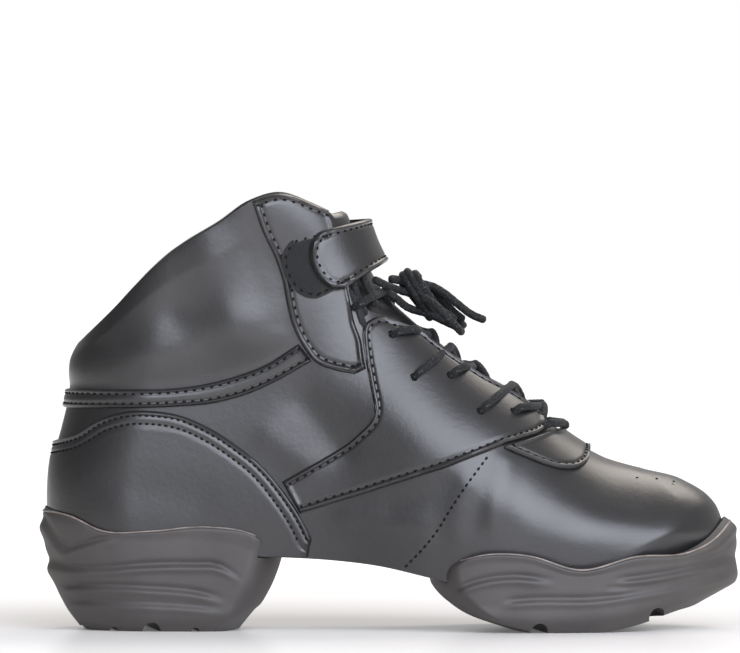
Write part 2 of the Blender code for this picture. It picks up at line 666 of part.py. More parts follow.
def round_the_instep(along, low, high, steps, climb=(0.0, 0.0), flare=0.0):
    """Skin points at shares of the ridge line, turned round it between two angles.

    climb moves them up the ridge line with the depth, on the lateral and the medial side,
    and flare spreads them on the lateral side.
    """
    share = np.linspace(0.0, 1.0, steps)[:, None]
    turn = np.radians(low * (1.0 - share) + high * share)
    quarter = np.minimum(np.abs(turn), math.pi / 2)
    depth = INSTEP_ROUND * (1.0 - np.cos(quarter) + np.abs(turn) - quarter)
    length = np.linalg.norm(np.diff(ridge(np.linspace(0.0, 1.0, 200)), axis=0), axis=1).sum()
    middle = np.mean(along)
    spread = 1.0 + flare * np.where(turn < 0.0, depth / INSTEP_ROUND, 0.0)
    spot = middle + (np.asarray(along)[None] - middle) * spread
    spot = spot + np.where(turn < 0.0, *climb) * depth / length
    slope = ridge(spot + 0.002) - ridge(spot - 0.002)
    slope /= np.linalg.norm(slope, axis=-1, keepdims=True)
    inward = np.stack([-slope[..., 1], slope[..., 0]], axis=-1)
    return on_skin(ridge(spot) + inward * depth[..., None], np.sign(turn))


def build_tongue(parts):
    """The padded tongue under the lacing, fuller where the throat is open."""
    table = Through([row[0] for row in TONGUE_ROWS], [row[1] for row in TONGUE_ROWS])
    along = np.linspace(TONGUE_ROWS[0][0], TONGUE_ROWS[-1][0], 13)
    spots = ridge(along)
    width = girth(spots[:, 0])[:, 1] * swell(spots[:, 1])
    reach = np.degrees(np.arcsin(np.minimum(table(along) / width, 0.95)))
    grid = round_the_instep(along, -reach, reach, 9)
    across = np.abs(np.linspace(-1.0, 1.0, 9))[:, None]
    in_throat = np.clip((along - THROAT_SHARE) / 0.08, 0.0, 1.0)[None]
    crown = np.cos(np.clip(across / 0.55, 0.0, 1.0) * math.pi / 2) * in_throat
    height = TONGUE_CROWN * crown - WALL - 2.0 * GAP
    grid = lifted(grid, height[..., None])
    return shell(
        "tongue", grid, TONGUE, parts, "black_leather", BLACK_LEATHER, outwards=False
    )


def build_strap(parts):
    """The ankle strap, sewn on the medial side, and the patch that it fastens to."""
    length = np.linalg.norm(np.diff(ridge(np.linspace(0.0, 1.0, 200)), axis=0), axis=1).sum()
    across = np.linspace(-1.0, 1.0, 5)
    end = STRAP_END_TURN * (1.0 - np.sqrt(1.0 - (0.97 * across) ** 2))
    along = STRAP_PLACE + across * STRAP_WIDTH / 2.0 / length
    high = np.full(5, STRAP_TURN[1])
    grid = round_the_instep(
        along, STRAP_TURN[0] + end, high, STRAP_STEPS, STRAP_CLIMB, STRAP_FLARE
    )
    turns = np.linspace(STRAP_TURN[0], STRAP_TURN[1], STRAP_STEPS)
    lift = np.interp(
        turns, [-55.0, -25.0, 30.0, 62.0],
        [STRAP_END_LIFT, STRAP_LIFT, STRAP_LIFT, STRAP_SEWN_LIFT],
    )
    grid = lifted(grid, lift[:, None, None])
    shell("ankle_strap", grid, STRAP, parts, "black_leather", BLACK_LEATHER)
    along = STRAP_PLACE + across * PATCH_WIDTH / 2.0 / length
    high = np.full(5, PATCH_TURN[1])
    grid = round_the_instep(along, PATCH_TURN[0] + end, high, 6, PATCH_CLIMB)
    grid = lifted(grid, OVERLAY + 2.0 * OVERLAY_GAP)
    shell("fastening_patch", grid, OVERLAY, parts, "loop_cloth", LOOP_CLOTH)


def tube(name, points, collection, finish_name, finish):
    """A cord of the lace's thickness along a smooth curve through the points."""
    points = np.array(points, float)
    count = max(4, int(np.linalg.norm(np.diff(points, axis=0), axis=1).sum() / (1.7 * LACE)))
    path = Through(chord_shares(points), points)(np.linspace(0.0, 1.0, count))
    curve = bpy.data.curves.new(name, "CURVE")
    curve.dimensions = "3D"
    curve.bevel_depth = LACE / 2.0
    curve.bevel_resolution = 1
    curve.use_fill_caps = True
    spline = curve.splines.new("POLY")
    spline.points.add(count - 1)
    for spot, place in zip(spline.points, path):
        spot.co = (*place, 1.0)
    curve.materials.append(material(finish_name, finish))
    made = bpy.data.objects.new(name, curve)
    collection.objects.link(made)
    return made


def as_mesh(made):
    """The same object as a mesh, with its end caps welded on."""
    name, collection = made.name, made.users_collection[0]
    bpy.context.view_layer.update()
    graph = bpy.context.evaluated_depsgraph_get()
    mesh = bpy.data.meshes.new_from_object(made.evaluated_get(graph))
    bm = bmesh.new()
    bm.from_mesh(mesh)
    bmesh.ops.remove_doubles(bm, verts=bm.verts, dist=1e-6)
    bmesh.ops.recalc_face_normals(bm, faces=bm.faces)
    bm.to_mesh(mesh)
    bm.free()
    place = made.matrix_world.copy()
    bpy.data.objects.remove(made, do_unlink=True)
    solid = bpy.data.objects.new(name, mesh)
    solid.matrix_world = place
    collection.objects.link(solid)
    return solid


def lace_strand(row, side, tree):
    """Points of a lace from its hole on one side, over the ridge, to the other side."""
    hole = side_view([row[0:2]])[0]
    crest = ridge(row[2])
    way = 1.0 - (1.0 - np.linspace(0.0, 0.92, 5)) ** 2
    places = hole + (crest - hole) * way[:, None]
    points = []
    over_leather = OVERLAY + 2.0 * OVERLAY_GAP + LACE / 2.0
    over_tongue = over_leather + row[4] * (GAP + TONGUE_CROWN - WALL - OVERLAY - 2.0 * OVERLAY_GAP)
    for share, point in zip(way, on_skin(places, side)):
        _, normal, _, _ = tree.find_nearest(point)
        sink = np.clip((share - 0.80) / 0.20, 0.0, 1.0)
        height = over_leather + (over_tongue - over_leather) * sink
        points.append(point + np.array(normal) * height)
    far = np.array([0.0, DIVE_TURN * 0.5, DIVE_TURN]) * -side
    for turn, spot in zip(far, np.linspace(row[2], row[3], 3)):
        grid = round_the_instep([spot - 0.002, spot, spot + 0.002], turn - 2.0, turn + 2.0, 3)
        points.append(lifted(grid, over_tongue)[1, 1])
    return points


def build_laces(parts, tools, tree):
    """Crossings joined in pairs over the tongue, a bar at the toe end, and the bow."""
    for number, row in enumerate(LACING, start=1):
        name = f"lace_crossing_{number}"
        first = tube(name, lace_strand(row, -1.0, tree), parts, "black_lace", BLACK_LACE)
        second = tube(f"{name}_b", lace_strand(row, 1.0, tree), tools, "black_lace", BLACK_LACE)
        first = as_mesh(first)
        add_boolean(first, hide_tool(as_mesh(second)), "UNION")
    hole = side_view([TOE_BAR[0:2]])[0]
    crest = ridge(TOE_BAR[2])
    way = 1.0 - (1.0 - np.linspace(0.0, 1.0, 5)) ** 2
    places = hole + (crest - hole) * way[:, None]
    both = np.concatenate([places, places[-2::-1]])
    signs = np.array([-1.0, -1.0, -1.0, -1.0, 0.0, 1.0, 1.0, 1.0, 1.0])
    points = []
    for point in on_skin(both, signs):
        _, normal, _, _ = tree.find_nearest(point)
        points.append(point + np.array(normal) * (OVERLAY + 2.0 * OVERLAY_GAP + LACE / 2.0))
    tube("lace_toe_bar", points, parts, "black_lace", BLACK_LACE)
    bm = bmesh.new()
    bmesh.ops.create_uvsphere(bm, u_segments=12, v_segments=8, radius=1.0)
    bmesh.ops.scale(bm, vec=KNOT_RADII, verts=bm.verts)
    knot = object_from("bow_knot", bm, parts, "black_lace", BLACK_LACE)
    knot.location = KNOT_CENTRE
    for name, route in BOW_ROUTES.items():
        tube(name, route, parts, "black_lace", BLACK_LACE)


def main():
    for old in list(bpy.data.objects):
        bpy.data.objects.remove(old, do_unlink=True)
    parts = bpy.data.collections.new("dance_sneaker")
    tools = bpy.data.collections.new("cutters")
    bpy.context.scene.collection.children.link(parts)
    bpy.context.scene.collection.children.link(tools)

    build_upper(parts)
    board_inset = WALL + GAP
    build_footbed("lasting_board", board_inset, 0.0, BOARD, parts, "black_leather", BLACK_LEATHER)
    insole_lift = BOARD + GAP
    build_footbed(
        "insole", board_inset + GAP, insole_lift, INSOLE, parts, "lining_cloth", LINING_CLOTH
    )

    bare_form = foot_form("foot_form", GAP, 0.85, tools)
    counter_room = OVERLAY + 2 * OVERLAY_GAP + GAP
    heel_form = foot_form("foot_form_with_counter", counter_room, 0.85, tools)
    rings = unit_rings(
        FOREFOOT_ROWS, FOREFOOT_TREAD, FOREFOOT_LIP, FOREFOOT_STATIONS, SOLE_PROUD,
        BREAST_ROUND, INSTEP_ROUND + SOLE_PROUD, 20,
    )
    build_sole("sole_forefoot", rings, bare_form, FOREFOOT_GROOVES, parts, tools)
    rings = unit_rings(
        HEEL_ROWS, HEEL_TREAD, HEEL_LIP, HEEL_STATIONS, HEEL_PROUD,
        HEEL_ROUND + HEEL_PROUD, BREAST_ROUND, 17,
    )
    build_sole("sole_heel", rings, heel_form, HEEL_GROOVES, parts, tools)

    leather = (parts, "black_leather", BLACK_LEATHER)
    skin = faceted_skin()
    shell("heel_counter", round_the_heel(COUNTER_ROWS, 14, 6, skin), OVERLAY, *leather)
    shell("collar_band", round_the_heel(BAND_ROWS, 14, 3, skin), OVERLAY, *leather)
    for side, sign in (("lateral", -1.0), ("medial", 1.0)):
        panel = one_side(PANEL_ROWS, sign, 24, 6, skin)
        shell(f"lacing_panel_{side}", panel, OVERLAY, *leather)
        panel = one_side(ANKLE_ROWS, sign, 11, 6, skin, ANKLE_CROWN)
        shell(f"ankle_panel_{side}", panel, OVERLAY, *leather)
    shell("apron", over_the_ridge(APRON_ROWS, 9, 4, skin), OVERLAY, *leather)
    build_tongue(parts)
    build_strap(parts)
    build_laces(parts, tools, skin)


main()
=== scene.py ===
import math

import bmesh
import bpy
import numpy as np
from mathutils import Matrix, Vector


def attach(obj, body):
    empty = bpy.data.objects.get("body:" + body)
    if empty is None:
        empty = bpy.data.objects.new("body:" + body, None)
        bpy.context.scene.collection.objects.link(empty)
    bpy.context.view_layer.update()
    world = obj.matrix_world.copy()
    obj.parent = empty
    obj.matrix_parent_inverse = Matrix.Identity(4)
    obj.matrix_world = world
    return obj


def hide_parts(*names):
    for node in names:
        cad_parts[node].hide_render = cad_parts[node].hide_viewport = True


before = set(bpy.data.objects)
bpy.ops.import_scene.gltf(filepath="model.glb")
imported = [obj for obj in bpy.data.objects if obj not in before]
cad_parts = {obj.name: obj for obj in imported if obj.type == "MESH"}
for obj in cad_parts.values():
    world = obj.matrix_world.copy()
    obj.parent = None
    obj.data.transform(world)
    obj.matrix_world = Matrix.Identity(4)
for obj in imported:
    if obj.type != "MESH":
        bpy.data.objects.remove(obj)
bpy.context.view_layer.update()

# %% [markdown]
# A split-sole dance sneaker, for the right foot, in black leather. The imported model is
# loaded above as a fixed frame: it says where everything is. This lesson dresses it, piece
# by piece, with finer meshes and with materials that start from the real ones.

MM = 0.001


def put_in_scene(name, data):
    """An object of this name for a mesh, a lamp or a camera, linked to the scene."""
    made = bpy.data.objects.new(name, data)
    bpy.context.scene.collection.objects.link(made)
    return made

# %% [markdown]
# The camera comes first, because it decides what has to look right. The photograph was
# taken almost level with the shoe, from its outer side, and near and far parts keep their
# size: a very long lens does that. One pixel covers 0.395 mm, which fixes the view's width.

# %% The camera
PIXEL = 0.395 * MM
PICTURE = (740, 653)        # columns and rows
FLOOR_LINE = 628.5          # pixel row of the floor under the middle of the shoe
MIDDLE_COLUMN = 390.0       # pixel column of the middle of the shoe
CAMERA_DISTANCE = 4.0       # metres
CAMERA_RISE = math.radians(0.7)     # how far it looks down on the shoe
SENSOR = 36.0               # width of the camera's sensor in mm
FARTHEST = 20.0             # the camera sees no farther than this, in metres

aim = Vector((
    (PICTURE[0] / 2 - MIDDLE_COLUMN) * PIXEL, 0.0, (FLOOR_LINE - PICTURE[1] / 2) * PIXEL
))
lens_data = bpy.data.cameras.new("camera")
lens_data.sensor_width = SENSOR
lens_data.lens = SENSOR * CAMERA_DISTANCE / (PICTURE[0] * PIXEL)
lens_data.clip_end = FARTHEST
camera = put_in_scene("camera", lens_data)
way_back = Vector((0.0, -math.cos(CAMERA_RISE), math.sin(CAMERA_RISE)))
camera.location = aim + way_back * CAMERA_DISTANCE
camera.rotation_euler = (-way_back).to_track_quat("-Z", "Y").to_euler()
bpy.context.scene.camera = camera
print("lens, mm:", round(lens_data.lens, 1))

# %% [markdown]
# A shoe is made over a last. Here the last is a function: it takes a place in the side
# view and gives the point of the skin on either side. Every leather piece is laid on this
# one skin, so they follow each other exactly. The tables hold shares of the length, from
# the heel end, and shares of the height, from the floor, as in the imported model's source.

# %% Sizes of the last and the pieces, in metres
LENGTH = 0.2746
HEIGHT = 0.1726
BALL_HALF_WIDTH = 0.0465
HEEL_ROUND = 0.033
INSTEP_ROUND = 0.042
WALL = 0.0020
COLLAR_WALL = 0.0062
PAD_FADE = 0.015
PAD_MARGIN = 0.002
OVERLAY = 0.0011
OVERLAY_GAP = 0.0005
GAP = 0.0003
BOARD = 0.0018
INSOLE = 0.0040
TONGUE = 0.0040
STRAP = 0.0018
STRAP_WIDTH = 0.0200
PATCH_WIDTH = 0.0205
SOLE_PROUD = 0.0042
HEEL_PROUD = 0.0036
BREAST_ROUND = 0.012
TREAD_INSET = 0.0055
LACE = 0.0031

# %% The side view of the last: shares of the length and of the height
HEEL_BACK = [
    (0.019, 0.191), (0.0135, 0.240), (0.012, 0.291), (0.017, 0.398),
    (0.028, 0.465), (0.038, 0.535), (0.041, 0.585), (0.054, 0.657),
]
LEG_BACK = [(0.066, 0.80), (0.070, 1.08)]
LEG_FRONT = [(0.424, 1.16)]
FEATHER = [
    (0.019, 0.191), (0.063, 0.175), (0.172, 0.171), (0.282, 0.171), (0.347, 0.169),
    (0.424, 0.162), (0.482, 0.151), (0.555, 0.125), (0.627, 0.098), (0.726, 0.085),
    (0.828, 0.096), (0.919, 0.121), (0.966, 0.151),
]
TOE_RIDGE = [
    (0.966, 0.151), (0.979, 0.197), (0.980, 0.231), (0.976, 0.258), (0.960, 0.305),
    (0.929, 0.340), (0.871, 0.364), (0.816, 0.387), (0.775, 0.421), (0.739, 0.461),
]
INSTEP = [
    (0.697, 0.524), (0.657, 0.571), (0.620, 0.611), (0.575, 0.666), (0.533, 0.721),
    (0.498, 0.776), (0.480, 0.823), (0.465, 0.869), (0.452, 0.927), (0.440, 0.997),
    (0.432, 1.072),
]
TOPLINE = [
    (0.054, 0.657), (0.102, 0.732), (0.156, 0.824), (0.204, 0.884), (0.254, 0.932),
    (0.299, 0.981), (0.343, 1.000), (0.383, 0.978), (0.411, 0.954), (0.433, 0.857),
    (0.444, 0.785), (0.467, 0.736), (0.511, 0.710), (0.569, 0.646), (0.617, 0.589),
    (0.657, 0.554), (0.697, 0.513), (0.720, 0.484), (0.739, 0.461),
]
# share of the length, swing of the middle line and half width in ball half widths
GIRTH = [
    (0.012, 0.000, 0.68), (0.154, 0.000, 0.68), (0.282, -0.025, 0.68),
    (0.427, -0.070, 0.72), (0.555, -0.080, 0.87), (0.646, -0.036, 0.975),
    (0.719, 0.000, 1.00), (0.810, 0.040, 0.95), (0.882, 0.085, 0.88),
    (0.937, 0.100, 0.81), (0.980, 0.105, 0.76),
]
# share of the height, share of the half width
SWELL = [(0.08, 0.93), (0.24, 1.00), (0.45, 0.97), (0.62, 0.93), (0.80, 0.98), (1.00, 1.04)]


# %% Curves through the tables
class Through:
    """A smooth curve through values that are given at rising knots."""

    def __init__(self, knots, values):
        self.knots = np.array(knots, float)
        self.values = np.array(values, float)
        self.slopes = np.gradient(self.values, self.knots, axis=0)

    def __call__(self, at):
        at = np.clip(np.asarray(at, float), self.knots[0], self.knots[-1])
        first = np.searchsorted(self.knots, at, side="right") - 1
        first = np.clip(first, 0, len(self.knots) - 2)
        span = self.knots[first + 1] - self.knots[first]
        t = (at - self.knots[first]) / span
        if self.values.ndim == 2:
            t = t[..., None]
            span = span[..., None]
        smooth = t * t * (3.0 - 2.0 * t)
        value = (1.0 - smooth) * self.values[first] + smooth * self.values[first + 1]
        value += span * t * (1.0 - t) ** 2 * self.slopes[first]
        value -= span * t * t * (1.0 - t) * self.slopes[first + 1]
        return value


def side_view(shares):
    """Places in the side view, in metres, from shares of the length and the height."""
    shares = np.asarray(shares, float)
    return np.stack([(shares[..., 0] - 0.5) * LENGTH, shares[..., 1] * HEIGHT], axis=-1)


def run_along(points):
    """The distance run at each point of a line."""
    steps = np.linalg.norm(np.diff(points, axis=0), axis=-1)
    return np.concatenate([[0.0], np.cumsum(steps)])


def line_through(shares):
    points = side_view(shares)
    run = run_along(points)
    return Through(run / run[-1], points)


heel_back = line_through(HEEL_BACK)
feather = line_through(FEATHER)
topline = line_through(TOPLINE)
ridge = line_through(TOE_RIDGE + INSTEP)
THROAT_SHARE = float(ridge.knots[len(TOE_RIDGE) - 1])
RIDGE_LENGTH = float(run_along(ridge(np.linspace(0.0, 1.0, 200)))[-1])
girth = Through([(row[0] - 0.5) * LENGTH for row in GIRTH], [row[1:] for row in GIRTH])
swell = Through([row[0] * HEIGHT for row in SWELL], [row[1] for row in SWELL])
feather_height = Through([p[0] for p in feather.values], [p[1] for p in feather.values])
toe_foot = side_view([(TOE_RIDGE[0][0] - 0.004, 0.02)])
heel_foot = side_view([(HEEL_BACK[0][0] + 0.004, 0.02)])
line_steps = np.linspace(0.0, 1.0, 240)
BACK_LINE = np.concatenate([heel_foot, heel_back(line_steps), side_view(LEG_BACK)])
RIDGE_LINE = np.concatenate([toe_foot, ridge(line_steps), side_view(LEG_FRONT)])
print("ridge line, mm:", round(RIDGE_LENGTH / MM, 1))


# %% The skin of the last
CHUNK = 1500                # places measured at one time, which keeps the arrays small
def distance_to(places, line):
    """Shortest distance in the side view from each place to a line of short steps."""
    start = line[:-1]
    step = line[1:] - start
    flat = places.reshape(-1, 2)
    nearest = np.empty(len(flat))
    for low in range(0, len(flat), CHUNK):
        offset = flat[low:low + CHUNK, None] - start
        share = np.clip((offset * step).sum(-1) / (step * step).sum(-1), 0.0, 1.0)
        gap = offset - share[..., None] * step
        nearest[low:low + CHUNK] = np.sqrt((gap * gap).sum(-1).min(-1))
    return nearest.reshape(places.shape[:-1])


def rounded(depth, radius):
    """Share of the full half width at a depth inside a round of this radius."""
    return np.sqrt(1.0 - (1.0 - np.clip(depth / radius, 0.0, 1.0)) ** 2)


def middle_line(x):
    return girth(x)[..., 0] * BALL_HALF_WIDTH


def half_width(places):
    """The upper's half width at places in the side view."""
    width = girth(places[..., 0])[..., 1] * BALL_HALF_WIDTH * swell(places[..., 1])
    width *= rounded(distance_to(places, BACK_LINE), HEEL_ROUND)
    return width * rounded(distance_to(places, RIDGE_LINE), INSTEP_ROUND)


def on_skin(places, sides):
    """Points on the skin: sides is -1 on the outer side and 1 on the inner side."""
    across = middle_line(places[..., 0]) + sides * half_width(places)
    return np.stack([places[..., 0], across, places[..., 1]], axis=-1)


def grid_normals(grid, closed=False):
    """Outward normals of a grid of points, which may be closed along its first index."""
    if closed:
        around = np.roll(grid, -1, axis=0) - np.roll(grid, 1, axis=0)
    else:
        around = np.gradient(grid, axis=0)
    normals = np.cross(around, np.gradient(grid, axis=1))
    normals /= np.maximum(np.linalg.norm(normals, axis=-1, keepdims=True), 1e-12)
    outward = grid[..., 1] - middle_line(grid[..., 0])
    if (normals[..., 1] * outward).sum() < 0.0:
        normals = -normals
    return normals


# %% [markdown]
# Leather that has been lasted and worn has soft troughs and swells, which a smooth
# function lacks. Here they are placed in the side view, as short lines with a width and a
# height, because the eye reads their places: folds in the vamp where the foot bends, a
# hollow in the quarter, and swellings and dents in the collar's foam.

# %% Creases and swells of the leather
# Columns: place of one end, place of the other, half width and height in mm, and how
# strongly it shows on the outer and on the inner side
CREASES = [
    ((0.637, 0.375), (0.617, 0.262), 6.5, -0.50, 1.0, 0.8),
    ((0.660, 0.385), (0.648, 0.255), 5.0, 0.75, 1.0, 0.7),
    ((0.703, 0.360), (0.689, 0.250), 8.0, -0.50, 1.0, 0.9),
    ((0.607, 0.330), (0.596, 0.235), 5.0, 0.60, 1.0, 0.6),
    ((0.505, 0.283), (0.590, 0.330), 6.0, -0.40, 1.0, 0.8),
    ((0.445, 0.255), (0.545, 0.235), 6.5, 0.60, 1.0, 0.8),
    ((0.375, 0.520), (0.430, 0.420), 7.0, -0.80, 1.0, 0.9),
    ((0.330, 0.440), (0.380, 0.380), 6.0, 0.50, 1.0, 0.8),
    ((0.300, 0.860), (0.325, 0.700), 6.0, -0.55, 1.0, 0.6),
    ((0.200, 0.650), (0.275, 0.705), 8.0, 0.50, 1.0, 0.8),
    ((0.120, 0.640), (0.180, 0.720), 8.0, -0.45, 1.0, 0.7),
    ((0.800, 0.235), (0.900, 0.215), 8.0, 0.55, 1.0, 1.0),
    ((0.760, 0.330), (0.860, 0.300), 7.0, -0.35, 1.0, 0.8),
    ((0.110, 0.330), (0.220, 0.300), 9.0, -0.40, 1.0, 1.0),
    ((0.232, 0.905), (0.280, 0.700), 10.0, 1.40, 1.0, 1.0),
    ((0.300, 0.975), (0.440, 0.890), 13.0, 1.70, 1.0, 1.0),
    ((0.150, 0.625), (0.315, 0.690), 13.0, 1.60, 1.0, 1.0),
    ((0.170, 0.800), (0.215, 0.640), 10.0, -0.60, 1.0, 1.0),
]


def crease_height(places, sides):
    """How far the leather stands above the skin of the last at each place."""
    height = np.zeros(places.shape[:-1])
    outer = np.clip(-np.asarray(sides, float), 0.0, 1.0)
    inner = np.clip(np.asarray(sides, float), 0.0, 1.0)
    for start, end, half, rise, on_outer, on_inner in CREASES:
        gap = distance_to(places, side_view([start, end])) / (half * MM)
        height += np.exp(-gap * gap) * rise * MM * (outer * on_outer + inner * on_inner)
    return height


def leather_grid(places, sides, closed=False):
    """Points and outward normals of the creased leather at a grid of places."""
    bare = on_skin(places, sides)
    lift = crease_height(places, sides)
    points = bare + grid_normals(bare, closed) * lift[..., None]
    return points, grid_normals(points, closed)


# %% [markdown]
# Colours are written as sRGB hex values, as a paint chart gives them, and one function
# turns them to the linear numbers that a renderer works with. The others add a node with
# its settings and links, so each material below reads as a list of what it is made of.

# %% Colour and node helpers
def linear(chart):
    """A colour of the sRGB chart, such as 3c3c40, as linear red, green, blue, alpha."""
    parts = [int(chart[place:place + 2], 16) / 255.0 for place in (0, 2, 4)]
    return (*[p / 12.92 if p <= 0.04045 else ((p + 0.055) / 1.055) ** 2.4 for p in parts], 1.0)


def fill(node, values):
    """Set a node's inputs by name: to a number, to a socket or to a node's first output."""
    for key, value in values.items():
        if isinstance(value, bpy.types.Node):
            value = value.outputs[0]
        if isinstance(value, bpy.types.NodeSocket):
            node.id_data.links.new(value, node.inputs[key])
        else:
            node.inputs[key].default_value = value


def add_node(tree, kind, values=None, **settings):
    """A node of this kind, with its settings, and with its inputs filled."""
    node = tree.nodes.new(kind)
    for key, value in settings.items():
        setattr(node, key, value)
    fill(node, values or {})
    return node


def new_material(name):
    """A material with a principled shader; returns it with its tree and its shader."""
    made = bpy.data.materials.new(name)
    made.use_nodes = True
    return made, made.node_tree, made.node_tree.nodes["Principled BSDF"]


def own_place(tree):
    return add_node(tree, "ShaderNodeTexCoord").outputs["Object"]


def noise(tree, place, width, detail):
    """A cloudy mask with patches of about this width."""
    return add_node(
        tree, "ShaderNodeTexNoise", {"Vector": place, "Scale": 1.0 / width, "Detail": detail}
    )


def two_tone(tree, mask, dark, light, low=0.3, high=0.7):
    """A ramp between two chart colours, driven by a mask."""
    ramp = add_node(tree, "ShaderNodeValToRGB", {"Fac": mask})
    for stop, place, chart in zip(ramp.color_ramp.elements, (low, high), (dark, light)):
        stop.position = place
        stop.color = linear(chart)
    return ramp


def spread(tree, mask, low, high):
    """A mask from 0 to 1 turned to a range of numbers."""
    return add_node(tree, "ShaderNodeMapRange", {"Value": mask, "To Min": low, "To Max": high})


def relief(tree, height, strength, depth, **under):
    """Normals of a relief of this depth, laid on another relief's where one is given."""
    return add_node(
        tree, "ShaderNodeBump",
        {"Height": height, "Strength": strength, "Distance": depth, **under},
    )


# %% [markdown]
# The upper is corrected-grain cowhide: the hide's surface is buffed, pigmented black and
# sprayed with a satin top coat. It gives a dark grey sheen in broad soft highlights, with
# a grain under a millimetre wide and wider soft patches where the coat is thinner.

# %% Corrected-grain leather
PORE = 0.85 * MM            # width of one pebble of the embossed grain
PORE_DEPTH = 0.12 * MM
WRINKLE = PORE / 0.35       # width of the fine wrinkles
WRINKLE_DEPTH = 0.25 * MM
PATCH = 28.0 * MM           # width of the cloudy patches in the top coat


def leather_material(name, dark, light, gloss):
    made, tree, shader = new_material(name)
    place = own_place(tree)
    clouds = noise(tree, place, PATCH, 4.0)
    grain = add_node(
        tree, "ShaderNodeTexVoronoi", {"Vector": place, "Scale": 1.0 / PORE},
        feature="SMOOTH_F1",
    )
    pebbles = relief(tree, grain, 0.16, PORE_DEPTH)
    wrinkles = noise(tree, place, WRINKLE, 5.0)
    fill(shader, {
        "Base Color": two_tone(tree, clouds, dark, light, 0.3, 0.75),
        "Roughness": spread(tree, clouds, gloss + 0.07, gloss - 0.05),
        "IOR": 1.52, "Coat Weight": 0.25, "Coat Roughness": 0.30,
        "Normal": relief(tree, wrinkles, 0.30, WRINKLE_DEPTH, Normal=pebbles),
    })
    return made


leather = leather_material("corrected_grain_leather", "161516", "1f1e1f", 0.34)

# %% [markdown]
# The soles are injection-moulded rubber. The mould is spark-eroded, so the surface is
# matt, with a grain of about a third of a millimetre, and it picks up pale dust. Its dark
# taupe is warmer than the leather, which tells the two apart in the photograph. The thin pale
# bead along the lip at the top edge is a painted highlight, where the edge catches the light,
# so it has a finish of its own.

# %% Moulded rubber
MOULD_GRAIN = 0.35 * MM
MOULD_DEPTH = 0.08 * MM
DUST_PATCH = 18.0 * MM      # width of the patches of dust
HIGHLIGHT_PATCH = 6.0 * MM       # width of the patches in the painted highlight
RUBBER_IOR = 1.50

rubber, tree, shader = new_material("moulded_rubber")
dust = noise(tree, own_place(tree), DUST_PATCH, 6.0)
grain = noise(tree, own_place(tree), MOULD_GRAIN, 3.0)
fill(shader, {
    "Base Color": two_tone(tree, dust, "373433", "423e3c"), "IOR": RUBBER_IOR,
    "Roughness": spread(tree, dust, 0.50, 0.62), "Normal": relief(tree, grain, 0.35, MOULD_DEPTH),
})
# painted highlight: a pale rubber for the bead along the lip, standing for light on the top edge
painted_highlight_rubber, tree, shader = new_material("pale_lip_painted_highlight")
highlight_mask = noise(tree, own_place(tree), HIGHLIGHT_PATCH, 4.0)
fill(shader, {
    "Base Color": two_tone(tree, highlight_mask, "5a524d", "8a8079"), "IOR": RUBBER_IOR,
    "Roughness": spread(tree, highlight_mask, 0.35, 0.50),
})

# %% [markdown]
# Inside is a warp-knitted polyester lining over foam. Knit gives back little light, so it
# is dark and rough, with rows of loops about a millimetre apart that only show close up.

# %% Knitted lining and the pile's ground cloth
KNIT_ROW = 1.1 * MM
PILE_ROW = 0.5 * MM
STITCH_DEPTH = 0.3 * MM     # how deep the cloth's own loops stand


def cloth_material(name, dark, light, row):
    made, tree, shader = new_material(name)
    values = {"Vector": own_place(tree), "Scale": 0.5 / row, "Distortion": 1.2}
    courses, wales = [
        add_node(tree, "ShaderNodeTexWave", values, bands_direction=way).outputs["Fac"]
        for way in ("Z", "X")
    ]
    loops = add_node(tree, "ShaderNodeMath", {0: courses, 1: wales}, operation="MULTIPLY")
    fill(shader, {
        "Base Color": two_tone(tree, loops, dark, light, 0.0, 1.0), "Roughness": 0.92,
        "Sheen Weight": 0.2, "Normal": relief(tree, loops, 0.6, STITCH_DEPTH),
    })
    return made


lining = cloth_material("warp_knit_lining", "17171a", "26262a", KNIT_ROW)
loop_pile = cloth_material("brushed_loop_pile", "050506", "131315", PILE_ROW)

# %% [markdown]
# The thread is bonded polyester, black and slightly waxy, and the laces are braided
# polyester over a core. On the lace the strands are drawn in its own coordinates, along
# and around, so the braid bends with it; a few strands catch the light as pale flecks.

# %% Thread and lace materials
PICK = 0.95 * MM            # length of one crossing of the braid along the lace

thread, tree, shader = new_material("bonded_thread")
fill(shader, {"Base Color": linear("0a0a0b"), "Roughness": 0.85, "Specular IOR Level": 0.2})
lace_braid, tree, shader = new_material("braided_lace")
along_lace = add_node(tree, "ShaderNodeUVMap", uv_map="lace")
flecks = add_node(
    tree, "ShaderNodeTexVoronoi",
    {"Vector": along_lace, "Scale": 1.0 / PICK, "Randomness": 0.8},
)
fill(shader, {
    "Base Color": two_tone(tree, flecks, "474a4a", "0e0f10", 0.08, 0.36), "Roughness": 0.78,
    "Sheen Weight": 0.06, "Specular IOR Level": 0.3,
})
for made in (leather, rubber, painted_highlight_rubber, lining, loop_pile, thread, lace_braid):
    print("material:", made.name)

# %% [markdown]
# Most pieces of a shoe are sheets: a face side, a back side and an edge between them. One
# helper builds such a sheet from two grids of points and closes its rim, so that each piece
# is a real solid, with its faces outwards, and can be printed or weighed.

# %% Mesh helpers
NO_SHADE_BREAK = math.radians(50.0)


